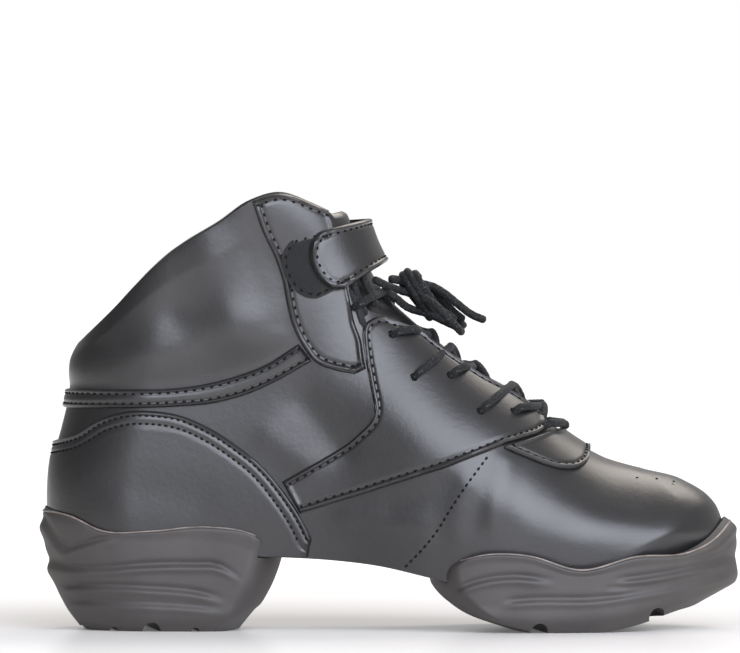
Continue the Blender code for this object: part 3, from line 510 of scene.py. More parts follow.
def piece_from(name, vertices, faces, materials, face_slots=None):
    """A smooth mesh object whose faces point out of the solid."""
    vertices = np.asarray(vertices, float).reshape(-1, 3)
    volume = 0.0
    for size in {len(face) for face in faces}:
        corners = vertices[np.array([face for face in faces if len(face) == size])]
        for index in range(1, size - 1):
            across = np.cross(corners[:, index], corners[:, index + 1])
            volume += float((corners[:, 0] * across).sum())
    if volume < 0.0:
        faces = [face[::-1] for face in faces]
    mesh = bpy.data.meshes.new(name)
    mesh.from_pydata(vertices.tolist(), [], faces)
    for finish in materials:
        mesh.materials.append(finish)
    if face_slots is not None:
        mesh.polygons.foreach_set("material_index", face_slots)
    mesh.shade_smooth()
    mesh.set_sharp_from_angle(angle=NO_SHADE_BREAK)
    return put_in_scene(name, mesh)


def piece_from_bmesh(name, bm, finish):
    mesh = bpy.data.meshes.new(name)
    bm.to_mesh(mesh)
    bm.free()
    mesh.materials.append(finish)
    return put_in_scene(name, mesh)


def quads(rows, columns, closed_rows=False, closed_columns=False):
    """Faces of a grid whose vertices are numbered row by row."""
    row = np.arange(rows if closed_rows else rows - 1)[:, None]
    column = np.arange(columns if closed_columns else columns - 1)[None]
    next_row, next_column = (row + 1) % rows, (column + 1) % columns
    corners = np.broadcast_arrays(
        row * columns + column, next_row * columns + column,
        next_row * columns + next_column, row * columns + next_column,
    )
    return [tuple(face) for face in np.stack(corners, axis=-1).reshape(-1, 4).tolist()]


def tube_faces(rows, sides, closed=False):
    """Faces of rings of vertices that follow one another along a line."""
    return [(a, d, c, b) for a, b, c, d in quads(rows, sides, closed, True)]


def sheet(name, face_side, back_side, finish):
    """A closed sheet between two grids of points, with a rim all round."""
    rows, columns = face_side.shape[:2]
    back = rows * columns
    faces = quads(rows, columns)
    faces += [tuple(back + corner for corner in face[::-1]) for face in faces]
    number = np.arange(back).reshape(rows, columns)
    sides = (number[:-1, 0], number[-1, :-1], number[:0:-1, -1], number[0, :0:-1])
    border = np.concatenate(sides).tolist()
    faces += [(a, back + a, back + b, b) for a, b in zip(border, border[1:] + border[:1])]
    return piece_from(name, np.stack([face_side, back_side]), faces, [finish])


def stand_for(made, nodes):
    """Let a finished piece ride on the shoe's one body and stand for its CAD nodes."""
    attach(made, "root")
    if nodes:
        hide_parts(*nodes)
    made.data.calc_loop_triangles()
    print(f"{made.name}: {len(made.data.loop_triangles)} triangles")
    return made


def eased(count, strength=0.55):
    """Shares from 0 to 1 that lie closer together near both ends."""
    even = np.linspace(0.0, 1.0, count)
    wave = (1.0 - np.cos(even * math.pi)) / 2.0
    return even * (1.0 - strength) + wave * strength


# %% [markdown]
# The upper is one closed shell. Its outer side is the leather grid round the foot, with the
# collar's foam swelling behind the ankle seam. Its inner side is the lining, further in
# where the foam is thick, and its top edge is turned over in a roll, as a collar is sewn.

# %% Places round the foot
WAY_STEPS = 400             # steps in which the way round the foot is measured
MEASURED_AT = 0.25          # share of the height where it is measured


def upper_places(ways, rises):
    """Places between the feather line, the topline, the heel back and the toe ridge."""
    way = np.asarray(ways, float)[:, None, None]
    rise = np.asarray(rises, float)[None, :, None]
    low = feather(way[:, 0, 0])[:, None]
    high = topline(way[:, 0, 0])[:, None]
    back = heel_back(rise[0, :, 0])[None]
    front = ridge(rise[0, :, 0] * THROAT_SHARE)[None]
    corners = (1 - way) * ((1 - rise) * feather(0.0) + rise * topline(0.0))
    corners = corners + way * ((1 - rise) * feather(1.0) + rise * topline(1.0))
    return (1 - rise) * low + rise * high + (1 - way) * back + way * front - corners


def even_ways(steps):
    """Ways from heel (0) to toe (1) that lie evenly spaced round the foot."""
    dense = (1.0 - np.cos(np.linspace(0.0, math.pi, WAY_STEPS))) / 2.0
    points = on_skin(upper_places(dense, [MEASURED_AT])[:, 0], np.ones(WAY_STEPS))
    run = run_along(points)
    return np.interp(np.linspace(0.0, 1.0, steps + 1), run / run[-1], dense)


def round_the_foot(values):
    return np.concatenate([values, values[-2:0:-1]])


def side_signs(steps):
    outer = -np.ones(steps + 1)
    outer[[0, -1]] = 0.0
    return np.concatenate([outer, np.ones(steps - 1)])


BAND_ROWS = [
    (0.038, 0.549, 0.033, 0.506), (0.060, 0.549, 0.058, 0.506), (0.100, 0.549, 0.100, 0.507),
    (0.143, 0.550, 0.143, 0.508), (0.190, 0.553, 0.190, 0.511), (0.240, 0.564, 0.246, 0.519),
    (0.285, 0.583, 0.296, 0.540), (0.328, 0.611, 0.342, 0.573), (0.358, 0.642, 0.374, 0.602),
    (0.3695, 0.6535, 0.3885, 0.6150),
]
ANKLE_ROWS = [
    (0.406, 0.948, 0.303, 0.969), (0.415, 0.905, 0.318, 0.905), (0.425, 0.855, 0.335, 0.850),
    (0.432, 0.815, 0.346, 0.800), (0.438, 0.775, 0.352, 0.750), (0.444, 0.735, 0.361, 0.695),
    (0.449, 0.700, 0.377, 0.645), (0.458, 0.662, 0.396, 0.610), (0.4625, 0.620, 0.428, 0.592),
    (0.4655, 0.598, 0.450, 0.586),
]


def pad_share(places):
    """How much of the collar's padding is under each place, from 0 to 1."""
    band = side_view([row[0:2] for row in BAND_ROWS])
    seam = side_view([row[2:4] for row in ANKLE_ROWS[::-1]])
    above = places[..., 1] - Through(band[:, 0], band[:, 1])(places[..., 0])
    behind = Through(seam[:, 1], seam[:, 0])(places[..., 1]) - places[..., 0]
    nearest = np.minimum(above, behind) - PAD_MARGIN
    return np.sin(np.clip(nearest / PAD_FADE, 0.0, 1.0) * math.pi / 2)


# %% The upper
AROUND = 150                # steps on each side, from heel to toe
UP = 84                     # steps from the feather line to the topline
ROLL = 0.0016               # how far the topline's roll stands above its seam
ROLL_STEPS = 9
PAD_PUFF = 0.0020           # how far the foam swells the collar
PAD_CROWN = 0.10            # share of the height in which the swelling ends at the top
# Rows of the grid crowd together over the ridge. There they are evened out, from a share
# of the height upwards, and normals that turned over are turned back
CROWDED = (0.25, 0.40)
EVENED_ROWS = 14
EVENING_PASSES = 60
TURNED_ROWS = 18
TURNED_FROM = 0.4           # how crowded the rows are where a normal may be turned back


def upper_grid(rises):
    """Points and normals of the outer side, and the share of padding under each."""
    places = round_the_foot(upper_places(even_ways(AROUND), rises))
    points, _ = leather_grid(places, side_signs(AROUND)[:, None], closed=True)
    crowded = np.clip((rises - CROWDED[0]) / (CROWDED[1] - CROWDED[0]), 0.0, 1.0)[None, :, None]
    beside = np.arange(AROUND - EVENED_ROWS, AROUND + EVENED_ROWS + 1)
    for _ in range(EVENING_PASSES):
        even = (points[beside - 1] + points[beside + 1]) / 2.0
        points[beside] += 0.5 * crowded * (even - points[beside])
    normals = grid_normals(points, closed=True)
    front = np.arange(AROUND - TURNED_ROWS, AROUND + TURNED_ROWS + 1)
    turned_over = (normals[front][..., 2] < 0.0) & (crowded[..., 0] > TURNED_FROM)
    normals[front] *= np.where(turned_over, -1.0, 1.0)[..., None]
    padded = pad_share(places)
    crown = np.clip((1.0 - rises) / PAD_CROWN, 0.0, 1.0)[None] ** 0.6
    return points + normals * (PAD_PUFF * padded * crown)[..., None], normals, padded


outer_side, normals, padded = upper_grid(eased(UP + 1, 0.35))
wall = WALL + (COLLAR_WALL - WALL) * padded
inner_side = outer_side - normals * wall[..., None]
upwards = outer_side[:, -1] - outer_side[:, -3]
upwards /= np.linalg.norm(upwards, axis=-1, keepdims=True)
rings = [outer_side[:, column] for column in range(UP)]
for turn in np.linspace(0.0, math.pi, ROLL_STEPS):
    share = (1.0 - math.cos(turn)) / 2.0
    height = ROLL * (math.sin(turn) - 1.0)
    rings.append(outer_side[:, -1] * (1.0 - share) + inner_side[:, -1] * share + upwards * height)
rings += [inner_side[:, column] for column in range(UP - 1, -1, -1)]
shell = np.stack(rings, axis=1)
rows, columns = shell.shape[:2]
lined = np.tile(np.arange(columns) > UP + ROLL_STEPS - 3, rows).astype(int).tolist()
upper = piece_from(
    "padded_upper", shell, quads(rows, columns, True, True), [leather, lining], lined
)
stand_for(upper, ["upper"])

# %% [markdown]
# The insole lies on the lasting board. Both are cut to the feather line, drawn in by the
# wall. The board stays plain; the insole is dished, because a sock liner is pressed to a
# foot, and this shows when one looks down through the collar.

# %% Lasting board and insole
CUP = 0.0022                # how far the insole's rim turns up
FOOTBED_STEPS = 25


def footbed(name, inset, lift, thickness, cup, finish):
    """A sheet inside the feather line; its rim turns up by the cup."""
    places = round_the_foot(upper_places(even_ways(AROUND), [0.0])[:, 0])
    ring = on_skin(places, side_signs(AROUND))
    along = np.roll(ring, -1, axis=0) - np.roll(ring, 1, axis=0)
    inward = np.stack([-along[:, 1], along[:, 0]], axis=-1)
    inward /= np.linalg.norm(inward, axis=-1, keepdims=True)
    outline = ring[:, :2] + inward * inset
    left = outline[1:AROUND]
    right = outline[:AROUND:-1]
    across = np.linspace(0.0, 1.0, FOOTBED_STEPS)[None, :, None]
    grid = left[:, None] * (1.0 - across) + right[:, None] * across
    floor = feather_height(grid[..., 0]) + lift
    dish = cup * (np.abs(2.0 * across[..., 0] - 1.0) ** 5)
    bottom = np.concatenate([grid, floor[..., None]], axis=-1)
    top = np.concatenate([grid, (floor + thickness + dish)[..., None]], axis=-1)
    return sheet(name, top, bottom, finish)


board = footbed("lasting_board_sheet", WALL + GAP, 0.0, BOARD, 0.0, leather)
stand_for(board, ["lasting_board"])
liner = footbed("dished_insole", WALL + 2 * GAP, BOARD + GAP, INSOLE - CUP, CUP, lining)
stand_for(liner, ["insole"])

# %% [markdown]
# An overlay is cut leather with its edge folded or piped, sewn down with one or two rows.
# Three things make it read as sewn: a rounded edge, a plump roll between the edge and the
# seam, and a trough that the thread pulls down. All three depend only on the distance to
# the edge, so the helper measures that for each point and shapes the height from it.

# %% Sewn leather helpers
EDGE_ROUND = 0.0012
ROLL_HEIGHT = 0.00045
TROUGH_DEPTH = 0.00040
TROUGH_HALF = 0.0007
PUFF_WIDTH = 6.0 * MM       # how far inside the seam a puffed piece is at its full height
PLAIN_INSET = 2.0 * MM      # where the roll of a piece without a seam lies
ALL_EDGES = ("low", "high", "start", "end")
SEWN = []                   # seam lines for the stitches that come later


def between(rows, along, across):
    """Side-view places between two edges that a table gives row by row."""
    table = np.array(rows, float)
    upper_edge = side_view(table[:, 0:2])
    lower_edge = side_view(table[:, 2:4])
    run = run_along((upper_edge + lower_edge) / 2.0)
    knots = run / run[-1]
    upper_edge = Through(knots, upper_edge)(along)[:, None]
    lower_edge = Through(knots, lower_edge)(along)[:, None]
    return lower_edge + (upper_edge - lower_edge) * across[None, :, None]


def edge_points(grid, edge):
    return {"low": grid[:, 0], "high": grid[:, -1], "start": grid[0], "end": grid[-1]}[edge]


def distance_from(grid, edges):
    """Distance of each grid point from the nearest of the named edges."""
    border = np.concatenate([edge_points(grid, edge) for edge in edges])
    flat = grid.reshape(-1, 3)
    nearest = np.empty(len(flat))
    for low in range(0, len(flat), CHUNK):
        gap = flat[low:low + CHUNK, None] - border
        nearest[low:low + CHUNK] = np.sqrt((gap * gap).sum(-1).min(-1))
    return nearest.reshape(grid.shape[:2])


def seam_line(points, distance, inset, edge):
    """The line on a grid that lies at one distance inside one of its edges."""
    if edge in ("start", "end"):
        points, distance = np.swapaxes(points, 0, 1), distance.T
    if edge in ("high", "end"):
        points, distance = points[:, ::-1], distance[:, ::-1]
    line = []
    for row, gaps in zip(points, distance):
        inside = np.nonzero(gaps >= inset)[0]
        if len(inside) == 0 or inside[0] == 0 or inside[0] > len(gaps) * 0.6:
            continue
        first = inside[0]
        share = (inset - gaps[first - 1]) / (gaps[first] - gaps[first - 1])
        line.append(row[first - 1] * (1.0 - share) + row[first] * share)
    return np.array(line)


def sewn_piece(name, grid, seams, nodes, edges=ALL_EDGES, roll=1.0, thickness=OVERLAY,
               gap=OVERLAY_GAP, finish=leather, puff=0.0):
    """Leather on a grid: seams is a list of (edge, inset), edges those that are rounded."""
    points, normals = grid
    distance = distance_from(points, edges)
    inset = min([row[1] for row in seams], default=PLAIN_INSET)
    share = np.clip(distance / EDGE_ROUND, 0.0, 1.0)
    height = thickness * (0.15 + 0.85 * np.sqrt(1.0 - (1.0 - share) ** 2))
    height += roll * ROLL_HEIGHT * np.exp(-((distance - inset * 0.55) / (inset * 0.30)) ** 2)
    seam_gaps = {edge: distance_from(points, [edge]) for edge in {row[0] for row in seams}}
    for edge, seam_inset in seams:
        height -= TROUGH_DEPTH * np.exp(-((seam_gaps[edge] - seam_inset) / TROUGH_HALF) ** 2)
    height += puff * np.clip((distance - inset) / PUFF_WIDTH, 0.0, 1.0) ** 0.7
    outer = points + normals * (gap + height)[..., None]
    made = sheet(name, outer, points + normals * (gap * 0.4), finish)
    stand_for(made, nodes)
    for edge, seam_inset in seams:
        line = seam_line(outer, seam_gaps[edge], seam_inset, edge)
        border = np.concatenate([edge_points(points, other) for other in edges if other != edge])
        clear = [np.linalg.norm(border - spot, axis=1).min() > seam_inset for spot in line]
        SEWN.append((name, line[np.array(clear, bool)]))
    return made, outer


# %% Ways round the heel and over the ridge
LINE_STEPS = 300            # steps in which a line of the last is followed
DENSE_STEPS = 240           # steps in which a way round the heel is measured
HEEL_STEPS = 110            # steps of a heel piece on each side


def against_heel(places, shares):
    """Places moved so that the first ones lie on the heel's back line."""
    back = heel_back(np.linspace(0.0, 1.0, LINE_STEPS))
    move = np.interp(places[0, :, 1], back[:, 1], back[:, 0]) - places[0, :, 0]
    places[..., 0] += move[None] * (1.0 - shares[:, None]) ** 3
    return places


def over_both_sides(places):
    """Leather on both sides, from places of one side that start at the middle line."""
    steps = len(places) - 1
    signs = np.concatenate([-np.ones(steps), [0.0], np.ones(steps)])[:, None]
    return leather_grid(np.concatenate([places[:0:-1], places]), signs)


def heel_wrap(rows, steps, across):
    """A grid that runs from one side round the back of the heel to the other."""
    dense = 1.0 - np.cos(np.linspace(0.0, 0.5 * math.pi, DENSE_STEPS))
    points = on_skin(against_heel(between(rows, dense, np.array([0.0, 0.5, 1.0])), dense), 1.0)
    run = run_along(points[:, 1])
    shares = np.interp(np.linspace(0.0, 1.0, steps + 1), run / run[-1], dense)
    return over_both_sides(against_heel(between(rows, shares, across), shares))


def ridge_wrap(rows, steps, across):
    """A grid that runs from one side over the ridge to the other."""
    shares = 1.0 - np.cos(np.linspace(0.0, 0.5 * math.pi, steps + 1))
    places = between(rows, shares, across)
    line = ridge(np.linspace(THROAT_SHARE, 0.0, LINE_STEPS))
    move = np.interp(places[0, :, 0], line[:, 0], line[:, 1]) - places[0, :, 1]
    places[..., 1] += move[None] * (1.0 - shares[:, None]) ** 3
    return over_both_sides(places)


# %% [markdown]
# The counter is the leather round the heel, sewn with two rows. Above it runs the band at
# the foot of the collar, sewn along both edges, with a little foam between its rows.

# %% Heel counter and collar band
COUNTER_ROWS = [
    (0.018, 0.430, 0.020, 0.190), (0.051, 0.446, 0.056, 0.180), (0.085, 0.481, 0.090, 0.177),
    (0.120, 0.499, 0.125, 0.176), (0.160, 0.501, 0.165, 0.175), (0.200, 0.491, 0.205, 0.175),
    (0.237, 0.467, 0.240, 0.175), (0.278, 0.427, 0.280, 0.175), (0.318, 0.376, 0.315, 0.174),
    (0.350, 0.315, 0.345, 0.174), (0.373, 0.260, 0.368, 0.173), (0.388, 0.213, 0.383, 0.171),
]
sewn_piece(
    "counter_leather", heel_wrap(COUNTER_ROWS, HEEL_STEPS, eased(46)),
    [("high", 2.0 * MM), ("high", 5.2 * MM)], ["heel_counter"],
    edges=("high", "start", "end"),
)
sewn_piece(
    "collar_band_leather", heel_wrap(BAND_ROWS, HEEL_STEPS, eased(24)),
    [("high", 1.7 * MM), ("low", 1.7 * MM)], ["collar_band"], puff=0.0003,
)

# %% [markdown]
# Each side has a large lacing panel, whose upper edge turns up the throat, and an ankle
# panel, piped along its rear seam. The apron closes the toe end of the throat. They differ
# only in their tables, so one helper sews them all.

# %% Lacing panels, ankle panels and apron
PANEL_ROWS = [
    (0.346, 0.341, 0.371, 0.270), (0.378, 0.370, 0.398, 0.283), (0.415, 0.404, 0.430, 0.299),
    (0.451, 0.444, 0.465, 0.316), (0.478, 0.501, 0.495, 0.332), (0.471, 0.565, 0.515, 0.342),
    (0.464, 0.627, 0.534, 0.352), (0.462, 0.692, 0.556, 0.363), (0.481, 0.713, 0.578, 0.374),
    (0.508, 0.701, 0.602, 0.389), (0.535, 0.684, 0.625, 0.403), (0.569, 0.643, 0.645, 0.415),
    (0.599, 0.609, 0.664, 0.426), (0.632, 0.574, 0.682, 0.434), (0.664, 0.546, 0.698, 0.441),
    (0.697, 0.511, 0.712, 0.448), (0.715, 0.487, 0.722, 0.458),
]
APRON_ROWS = [
    (0.7435, 0.4575, 0.787, 0.411), (0.742, 0.455, 0.783, 0.388), (0.736, 0.450, 0.770, 0.372),
    (0.727, 0.452, 0.748, 0.369), (0.712, 0.444, 0.722, 0.379), (0.690, 0.434, 0.696, 0.395),
    (0.670, 0.425, 0.673, 0.409), (0.662, 0.4205, 0.662, 0.417),
]
ANKLE_TOP = 0.0009          # how far the ankle panels' top edges lie below the topline

SIDES = {"lateral": -1.0, "medial": 1.0}

panels = {}
for side, sign in SIDES.items():
    places = between(PANEL_ROWS, np.linspace(0.0, 1.0, 170), eased(60))
    panels[side], _ = sewn_piece(
        f"lacing_panel_leather_{side}", leather_grid(places, sign),
        [("high", 2.3 * MM), ("low", 2.3 * MM)], [f"lacing_panel_{side}"], roll=1.2,
    )
    along = eased(80)
    places = between(ANKLE_ROWS, along, eased(44))
    crest = topline(np.linspace(0.1, 0.5, 200))
    lifted = np.interp(places[0, :, 0], crest[:, 0], crest[:, 1]) - ANKLE_TOP - places[0, :, 1]
    places[..., 1] += lifted[None] * (1.0 - along[:, None]) ** 5
    sewn_piece(
        f"ankle_panel_leather_{side}", leather_grid(places, sign),
        [("low", 2.8 * MM), ("start", 2.4 * MM), ("end", 2.8 * MM)],
        [f"ankle_panel_{side}"], roll=1.6,
    )
sewn_piece(
    "apron_leather", ridge_wrap(APRON_ROWS, 60, eased(34)), [("low", 2.0 * MM)], ["apron"],
    roll=1.6,
)

# %% [markdown]
# The tongue and the ankle strap lie round the ridge of the instep, so they are charted by
# a place along the ridge line and an angle round it. The tongue is foam between two
# leathers. It is thin and mostly hidden, so its shape is given instead of being blown up
# by a cloth simulation, which would tear it from the seams at its sides.

# %% Grids round the instep
SLOPE_STEP = 0.002          # share of the ridge line over which its slope is measured


def round_the_instep(along, low, high, steps, climb=(0.0, 0.0), flare=0.0):
    """Skin points at shares of the ridge line, turned round it between two angles.
    climb moves them up the ridge line with the depth, on the outer and on the inner side,
    and flare spreads them on the outer side."""
    share = np.linspace(0.0, 1.0, steps)[:, None]
    turn = np.radians(low * (1.0 - share) + high * share)
    quarter = np.minimum(np.abs(turn), math.pi / 2)
    depth = INSTEP_ROUND * (1.0 - np.cos(quarter) + np.abs(turn) - quarter)
    middle = np.mean(along)
    spread_out = 1.0 + flare * np.where(turn < 0.0, depth / INSTEP_ROUND, 0.0)
    spot = middle + (np.asarray(along)[None] - middle) * spread_out
    spot = spot + np.where(turn < 0.0, *climb) * depth / RIDGE_LENGTH
    slope = ridge(spot + SLOPE_STEP) - ridge(spot - SLOPE_STEP)
    slope /= np.linalg.norm(slope, axis=-1, keepdims=True)
    inward = np.stack([-slope[..., 1], slope[..., 0]], axis=-1)
    return on_skin(ridge(spot) + inward * depth[..., None], np.sign(turn))


# %% The tongue
TONGUE_ROWS = [(0.345, 0.36), (0.50, 0.50), (0.70, 0.56), (0.86, 0.56), (0.918, 0.42)]
TONGUE_CROWN = 0.0002       # how far the tongue stands proud in the throat
TONGUE_STEPS = 61
SEWN_EDGE = 0.0002          # half the thickness of the tongue's edge

table = Through([row[0] for row in TONGUE_ROWS], [row[1] for row in TONGUE_ROWS])
along = np.linspace(TONGUE_ROWS[0][0], TONGUE_ROWS[-1][0], 110)
spots = ridge(along)
width = girth(spots[:, 0])[:, 1] * swell(spots[:, 1])
reach = np.degrees(np.arcsin(np.minimum(table(along) / width, 0.95)))
points = round_the_instep(along, -reach, reach, TONGUE_STEPS)
normals = grid_normals(points)
across = np.abs(np.linspace(-1.0, 1.0, TONGUE_STEPS))[:, None]
in_throat = np.clip((along - THROAT_SHARE) / 0.08, 0.0, 1.0)[None]
crown = np.cos(np.clip(across / 0.55, 0.0, 1.0) * math.pi / 2) * in_throat
edge_share = np.clip(distance_from(points, ALL_EDGES) / TONGUE, 0.0, 1.0)
half_foam = TONGUE / 2.0 * np.sqrt(1.0 - (1.0 - edge_share) ** 2) + SEWN_EDGE
half_foam = normals * half_foam[..., None]
centre = points + normals * (TONGUE_CROWN * crown - WALL - 2.0 * GAP - TONGUE / 2.0)[..., None]
tongue = sheet("padded_tongue", centre + half_foam, centre - half_foam, leather)
stand_for(tongue, ["tongue"])

# %% The ankle strap and its patch
STRAP_PLACE = 0.852         # share of the ridge line where the strap's middle lies
STRAP_CLIMB = (0.0, 0.28)
STRAP_FLARE = 0.25
STRAP_TURN = (-63.0, 94.0)
STRAP_END_TURN = 15.0       # angle over which the free end is rounded
PATCH_TURN = (-78.0, -54.0)
PATCH_CLIMB = (0.04, 0.0)
# angles round the instep, and the strap's heights over the skin there
STRAP_LIFTS = ([-55.0, -25.0, 30.0, 62.0], [0.0037, 0.0042, 0.0042, 0.0024])
STRAP_ROWS = 34
STRAP_STEPS = 110
PATCH_STEPS = 46


def band_round(width, turn, steps, *bend):
    """Points of a band with a rounded outer end, laid round the instep."""
    across = eased(STRAP_ROWS) * 2.0 - 1.0
    end = STRAP_END_TURN * (1.0 - np.sqrt(1.0 - (0.985 * across) ** 2))
    along = STRAP_PLACE + across * width / 2.0 / RIDGE_LENGTH
    far = np.full(STRAP_ROWS, turn[1])
    return round_the_instep(along, turn[0] + end, far, steps, *bend)


points = band_round(STRAP_WIDTH, STRAP_TURN, STRAP_STEPS, STRAP_CLIMB, STRAP_FLARE)
lift = np.interp(np.linspace(*STRAP_TURN, STRAP_STEPS), *STRAP_LIFTS)
normals = grid_normals(points)
points = points + normals * lift[:, None, None]
sewn_piece(
    "ankle_strap_leather", (points, normals),
    [("low", 2.4 * MM), ("high", 2.4 * MM), ("start", 2.6 * MM)], ["ankle_strap"],
    roll=0.9, thickness=STRAP, gap=0.0,
)
points = band_round(PATCH_WIDTH, PATCH_TURN, PATCH_STEPS, PATCH_CLIMB)
normals = grid_normals(points)
points = points + normals * (OVERLAY + 2.0 * OVERLAY_GAP)
_, patch_face = sewn_piece(
    "fastening_patch_cloth", (points, normals),
    [("low", 1.4 * MM), ("high", 1.4 * MM), ("start", 1.6 * MM)], ["fastening_patch"],
    roll=0.0, gap=0.0, finish=loop_pile,
)

# %% [markdown]
# A sole unit is drawn as rings at several heights, from the tread to the lip that hugs the
# upper. Its side has moulded steps: a soft ridge with a hollow above it and a face that
# falls back below it. They fade out along the side, so each is a short line in the side
# view, and the surface is pushed out by a profile that depends on the distance below that
# line. At the toe and the heel the ridges are wider, because the side turns away there.
# The foot and the half-round grooves of the tread are then cut away.

# %% Rings of the sole units
SOLE_AROUND = 150           # steps on each side of a unit
SOLE_UP = 104               # steps from the tread to the lip
# Each level: its rear end, its heights at the stations, its front end and how far it
# stands inside the widest outline. The last level is the inner edge of the lip

FOREFOOT_STATIONS = (0.15, 0.30, 0.47, 0.66, 0.86, 0.94)
FOREFOOT_LEVELS = [
    ((0.668, 0.004), (0.0, 0.0, 0.0, 0.017, 0.046, 0.055), (0.952, 0.066), TREAD_INSET),
    ((0.613, 0.034), (0.029, 0.026, 0.029, 0.046, 0.075, 0.087), (0.988, 0.098), 0.0009),
    ((0.580, 0.068), (0.068, 0.067, 0.071, 0.085, 0.103, 0.109), (0.996, 0.118), 0.0006),
    ((0.562, 0.098), (0.111, 0.120, 0.113, 0.124, 0.139, 0.147), (1.0, 0.162), 0.0006),
    ((0.557, 0.122), (0.151, 0.156, 0.127, 0.147, 0.162, 0.177), (0.999, 0.208), 0.0006),
    ((0.572, 0.149), (0.177, 0.174, 0.141, 0.171, 0.180, 0.204), (0.993, 0.243), 0.0008),
    ((0.580, 0.152), (0.179, 0.176, 0.143, 0.173, 0.184, 0.215), (0.982, 0.256), 0.0026),
]
HEEL_STATIONS = (0.05, 0.12, 0.25, 0.45, 0.70, 0.90)
HEEL_LEVELS = [
    ((0.056, 0.003), (0.0, 0.0, 0.0, 0.0, 0.0, 0.0), (0.284, 0.003), TREAD_INSET),
    ((0.037, 0.043), (0.037, 0.034, 0.031, 0.031, 0.031, 0.034), (0.304, 0.042), 0.0009),
    ((0.021, 0.092), (0.094, 0.095, 0.093, 0.088, 0.090, 0.067), (0.316, 0.061), 0.0006),
    ((0.011, 0.131), (0.133, 0.135, 0.141, 0.145, 0.146, 0.113), (0.331, 0.104), 0.0006),
    ((0.004, 0.190), (0.191, 0.194, 0.200, 0.203, 0.203, 0.177), (0.342, 0.150), 0.0006),
    ((0.000, 0.264), (0.266, 0.259, 0.228, 0.227, 0.237, 0.217), (0.343, 0.180), 0.0008),
    ((0.006, 0.287), (0.276, 0.266, 0.231, 0.229, 0.239, 0.217), (0.338, 0.182), 0.0026),
]


def level_ring(level, stations, proud, back_round, front_round):
    """One level of a sole unit: a ring from its rear end round the front and back."""
    start, heights, end, inset = level
    first, last = side_view([start])[0], side_view([end])[0]
    height = Through([0.0, *stations, 1.0], [first[1], *[h * HEIGHT for h in heights], last[1]])
    share = (1.0 - np.cos(np.linspace(0.0, math.pi, SOLE_AROUND + 1))) / 2.0
    x = first[0] + (last[0] - first[0]) * share
    z = np.maximum(height(share), 0.0)
    width = girth(x)[..., 1] * BALL_HALF_WIDTH + proud - inset
    width = width * rounded(x - first[0], back_round) * rounded(last[0] - x, front_round)
    outer = np.column_stack([x, middle_line(x) - width, z])
    inner = np.column_stack([x, middle_line(x) + width, z])
    return np.concatenate([outer, inner[-2:0:-1]])


# The moulded steps: places in the side view, step height in mm and length of its fall in mm
FOREFOOT_STEPS = [
    ([(0.585, 0.087), (0.612, 0.106), (0.640, 0.118), (0.670, 0.123), (0.737, 0.113)], 1.0, 4.5),
    ([(0.655, 0.066), (0.700, 0.071), (0.795, 0.073), (0.858, 0.086), (0.992, 0.120)], 0.9, 5.5),
    ([(0.815, 0.114), (0.860, 0.121), (0.920, 0.135), (0.978, 0.150)], 0.9, 3.5),
    ([(0.800, 0.094), (0.870, 0.101), (0.930, 0.117), (0.985, 0.134)], 0.6, 3.0),
]
HEEL_STEPS = [
    ([(0.002, 0.235), (0.032, 0.182), (0.060, 0.192), (0.095, 0.207), (0.125, 0.214)], 0.9, 5.0),
    ([(0.008, 0.140), (0.050, 0.137), (0.100, 0.140), (0.147, 0.146), (0.216, 0.148),
      (0.257, 0.144), (0.292, 0.112)], 1.1, 6.0),
    ([(0.018, 0.094), (0.090, 0.098), (0.160, 0.094), (0.220, 0.086), (0.268, 0.069)], 1.0, 5.0),
    ([(0.030, 0.062), (0.100, 0.060), (0.190, 0.056), (0.270, 0.045)], 0.7, 3.5),
]
STEP_START = 0.008          # length in which a step rises at its rear end
STEP_END = 0.012            # length in which it fades out at its front end
HEEL_TIP = -0.49 * LENGTH   # a step that starts behind this runs on round the heel
TOE_TIP = 0.47 * LENGTH     # a step that ends in front of this runs on round the toe
RIDGE_HALF = 1.25 * MM      # half widths of a step's ridge and of the hollow over it
HOLLOW_HALF = 1.15 * MM
RIDGE_BELOW = 1.0 * MM      # how far the ridge lies below the step's line
HOLLOW_ABOVE = 1.5 * MM


def step_height(points, steps):
    """How far the moulded steps push the side of a sole out at each point."""
    push = np.zeros(points.shape[:-1])
    x, z = points[..., 0], points[..., 2]
    wide = 1.0 + 1.3 * np.clip((np.abs(x) / LENGTH - 0.455) / 0.03, 0.0, 1.0)
    for shares, rise, fall in steps:
        line = side_view(shares)
        below = Through(line[:, 0], line[:, 1])(x) - z
        ends = np.ones(x.shape)
        if line[0, 0] >= HEEL_TIP:
            ends = ends * np.clip((x - line[0, 0]) / STEP_START, 0.0, 1.0)
        if line[-1, 0] <= TOE_TIP:
            ends = ends * np.clip((line[-1, 0] - x) / STEP_END, 0.0, 1.0)
        ends = ends * ends * (3.0 - 2.0 * ends)
        roll = np.exp(-((below - RIDGE_BELOW) / (RIDGE_HALF * wide)) ** 2)
        hollow = np.exp(-((below + HOLLOW_ABOVE * wide) / (HOLLOW_HALF * wide)) ** 2)
        face = np.exp(-np.clip(below, 0.0, None) / (fall * MM)) * (below > 0.0)
        push += rise * MM * (0.95 * roll - 0.75 * hollow + 0.35 * face * (1.0 - roll)) * ends
    return push


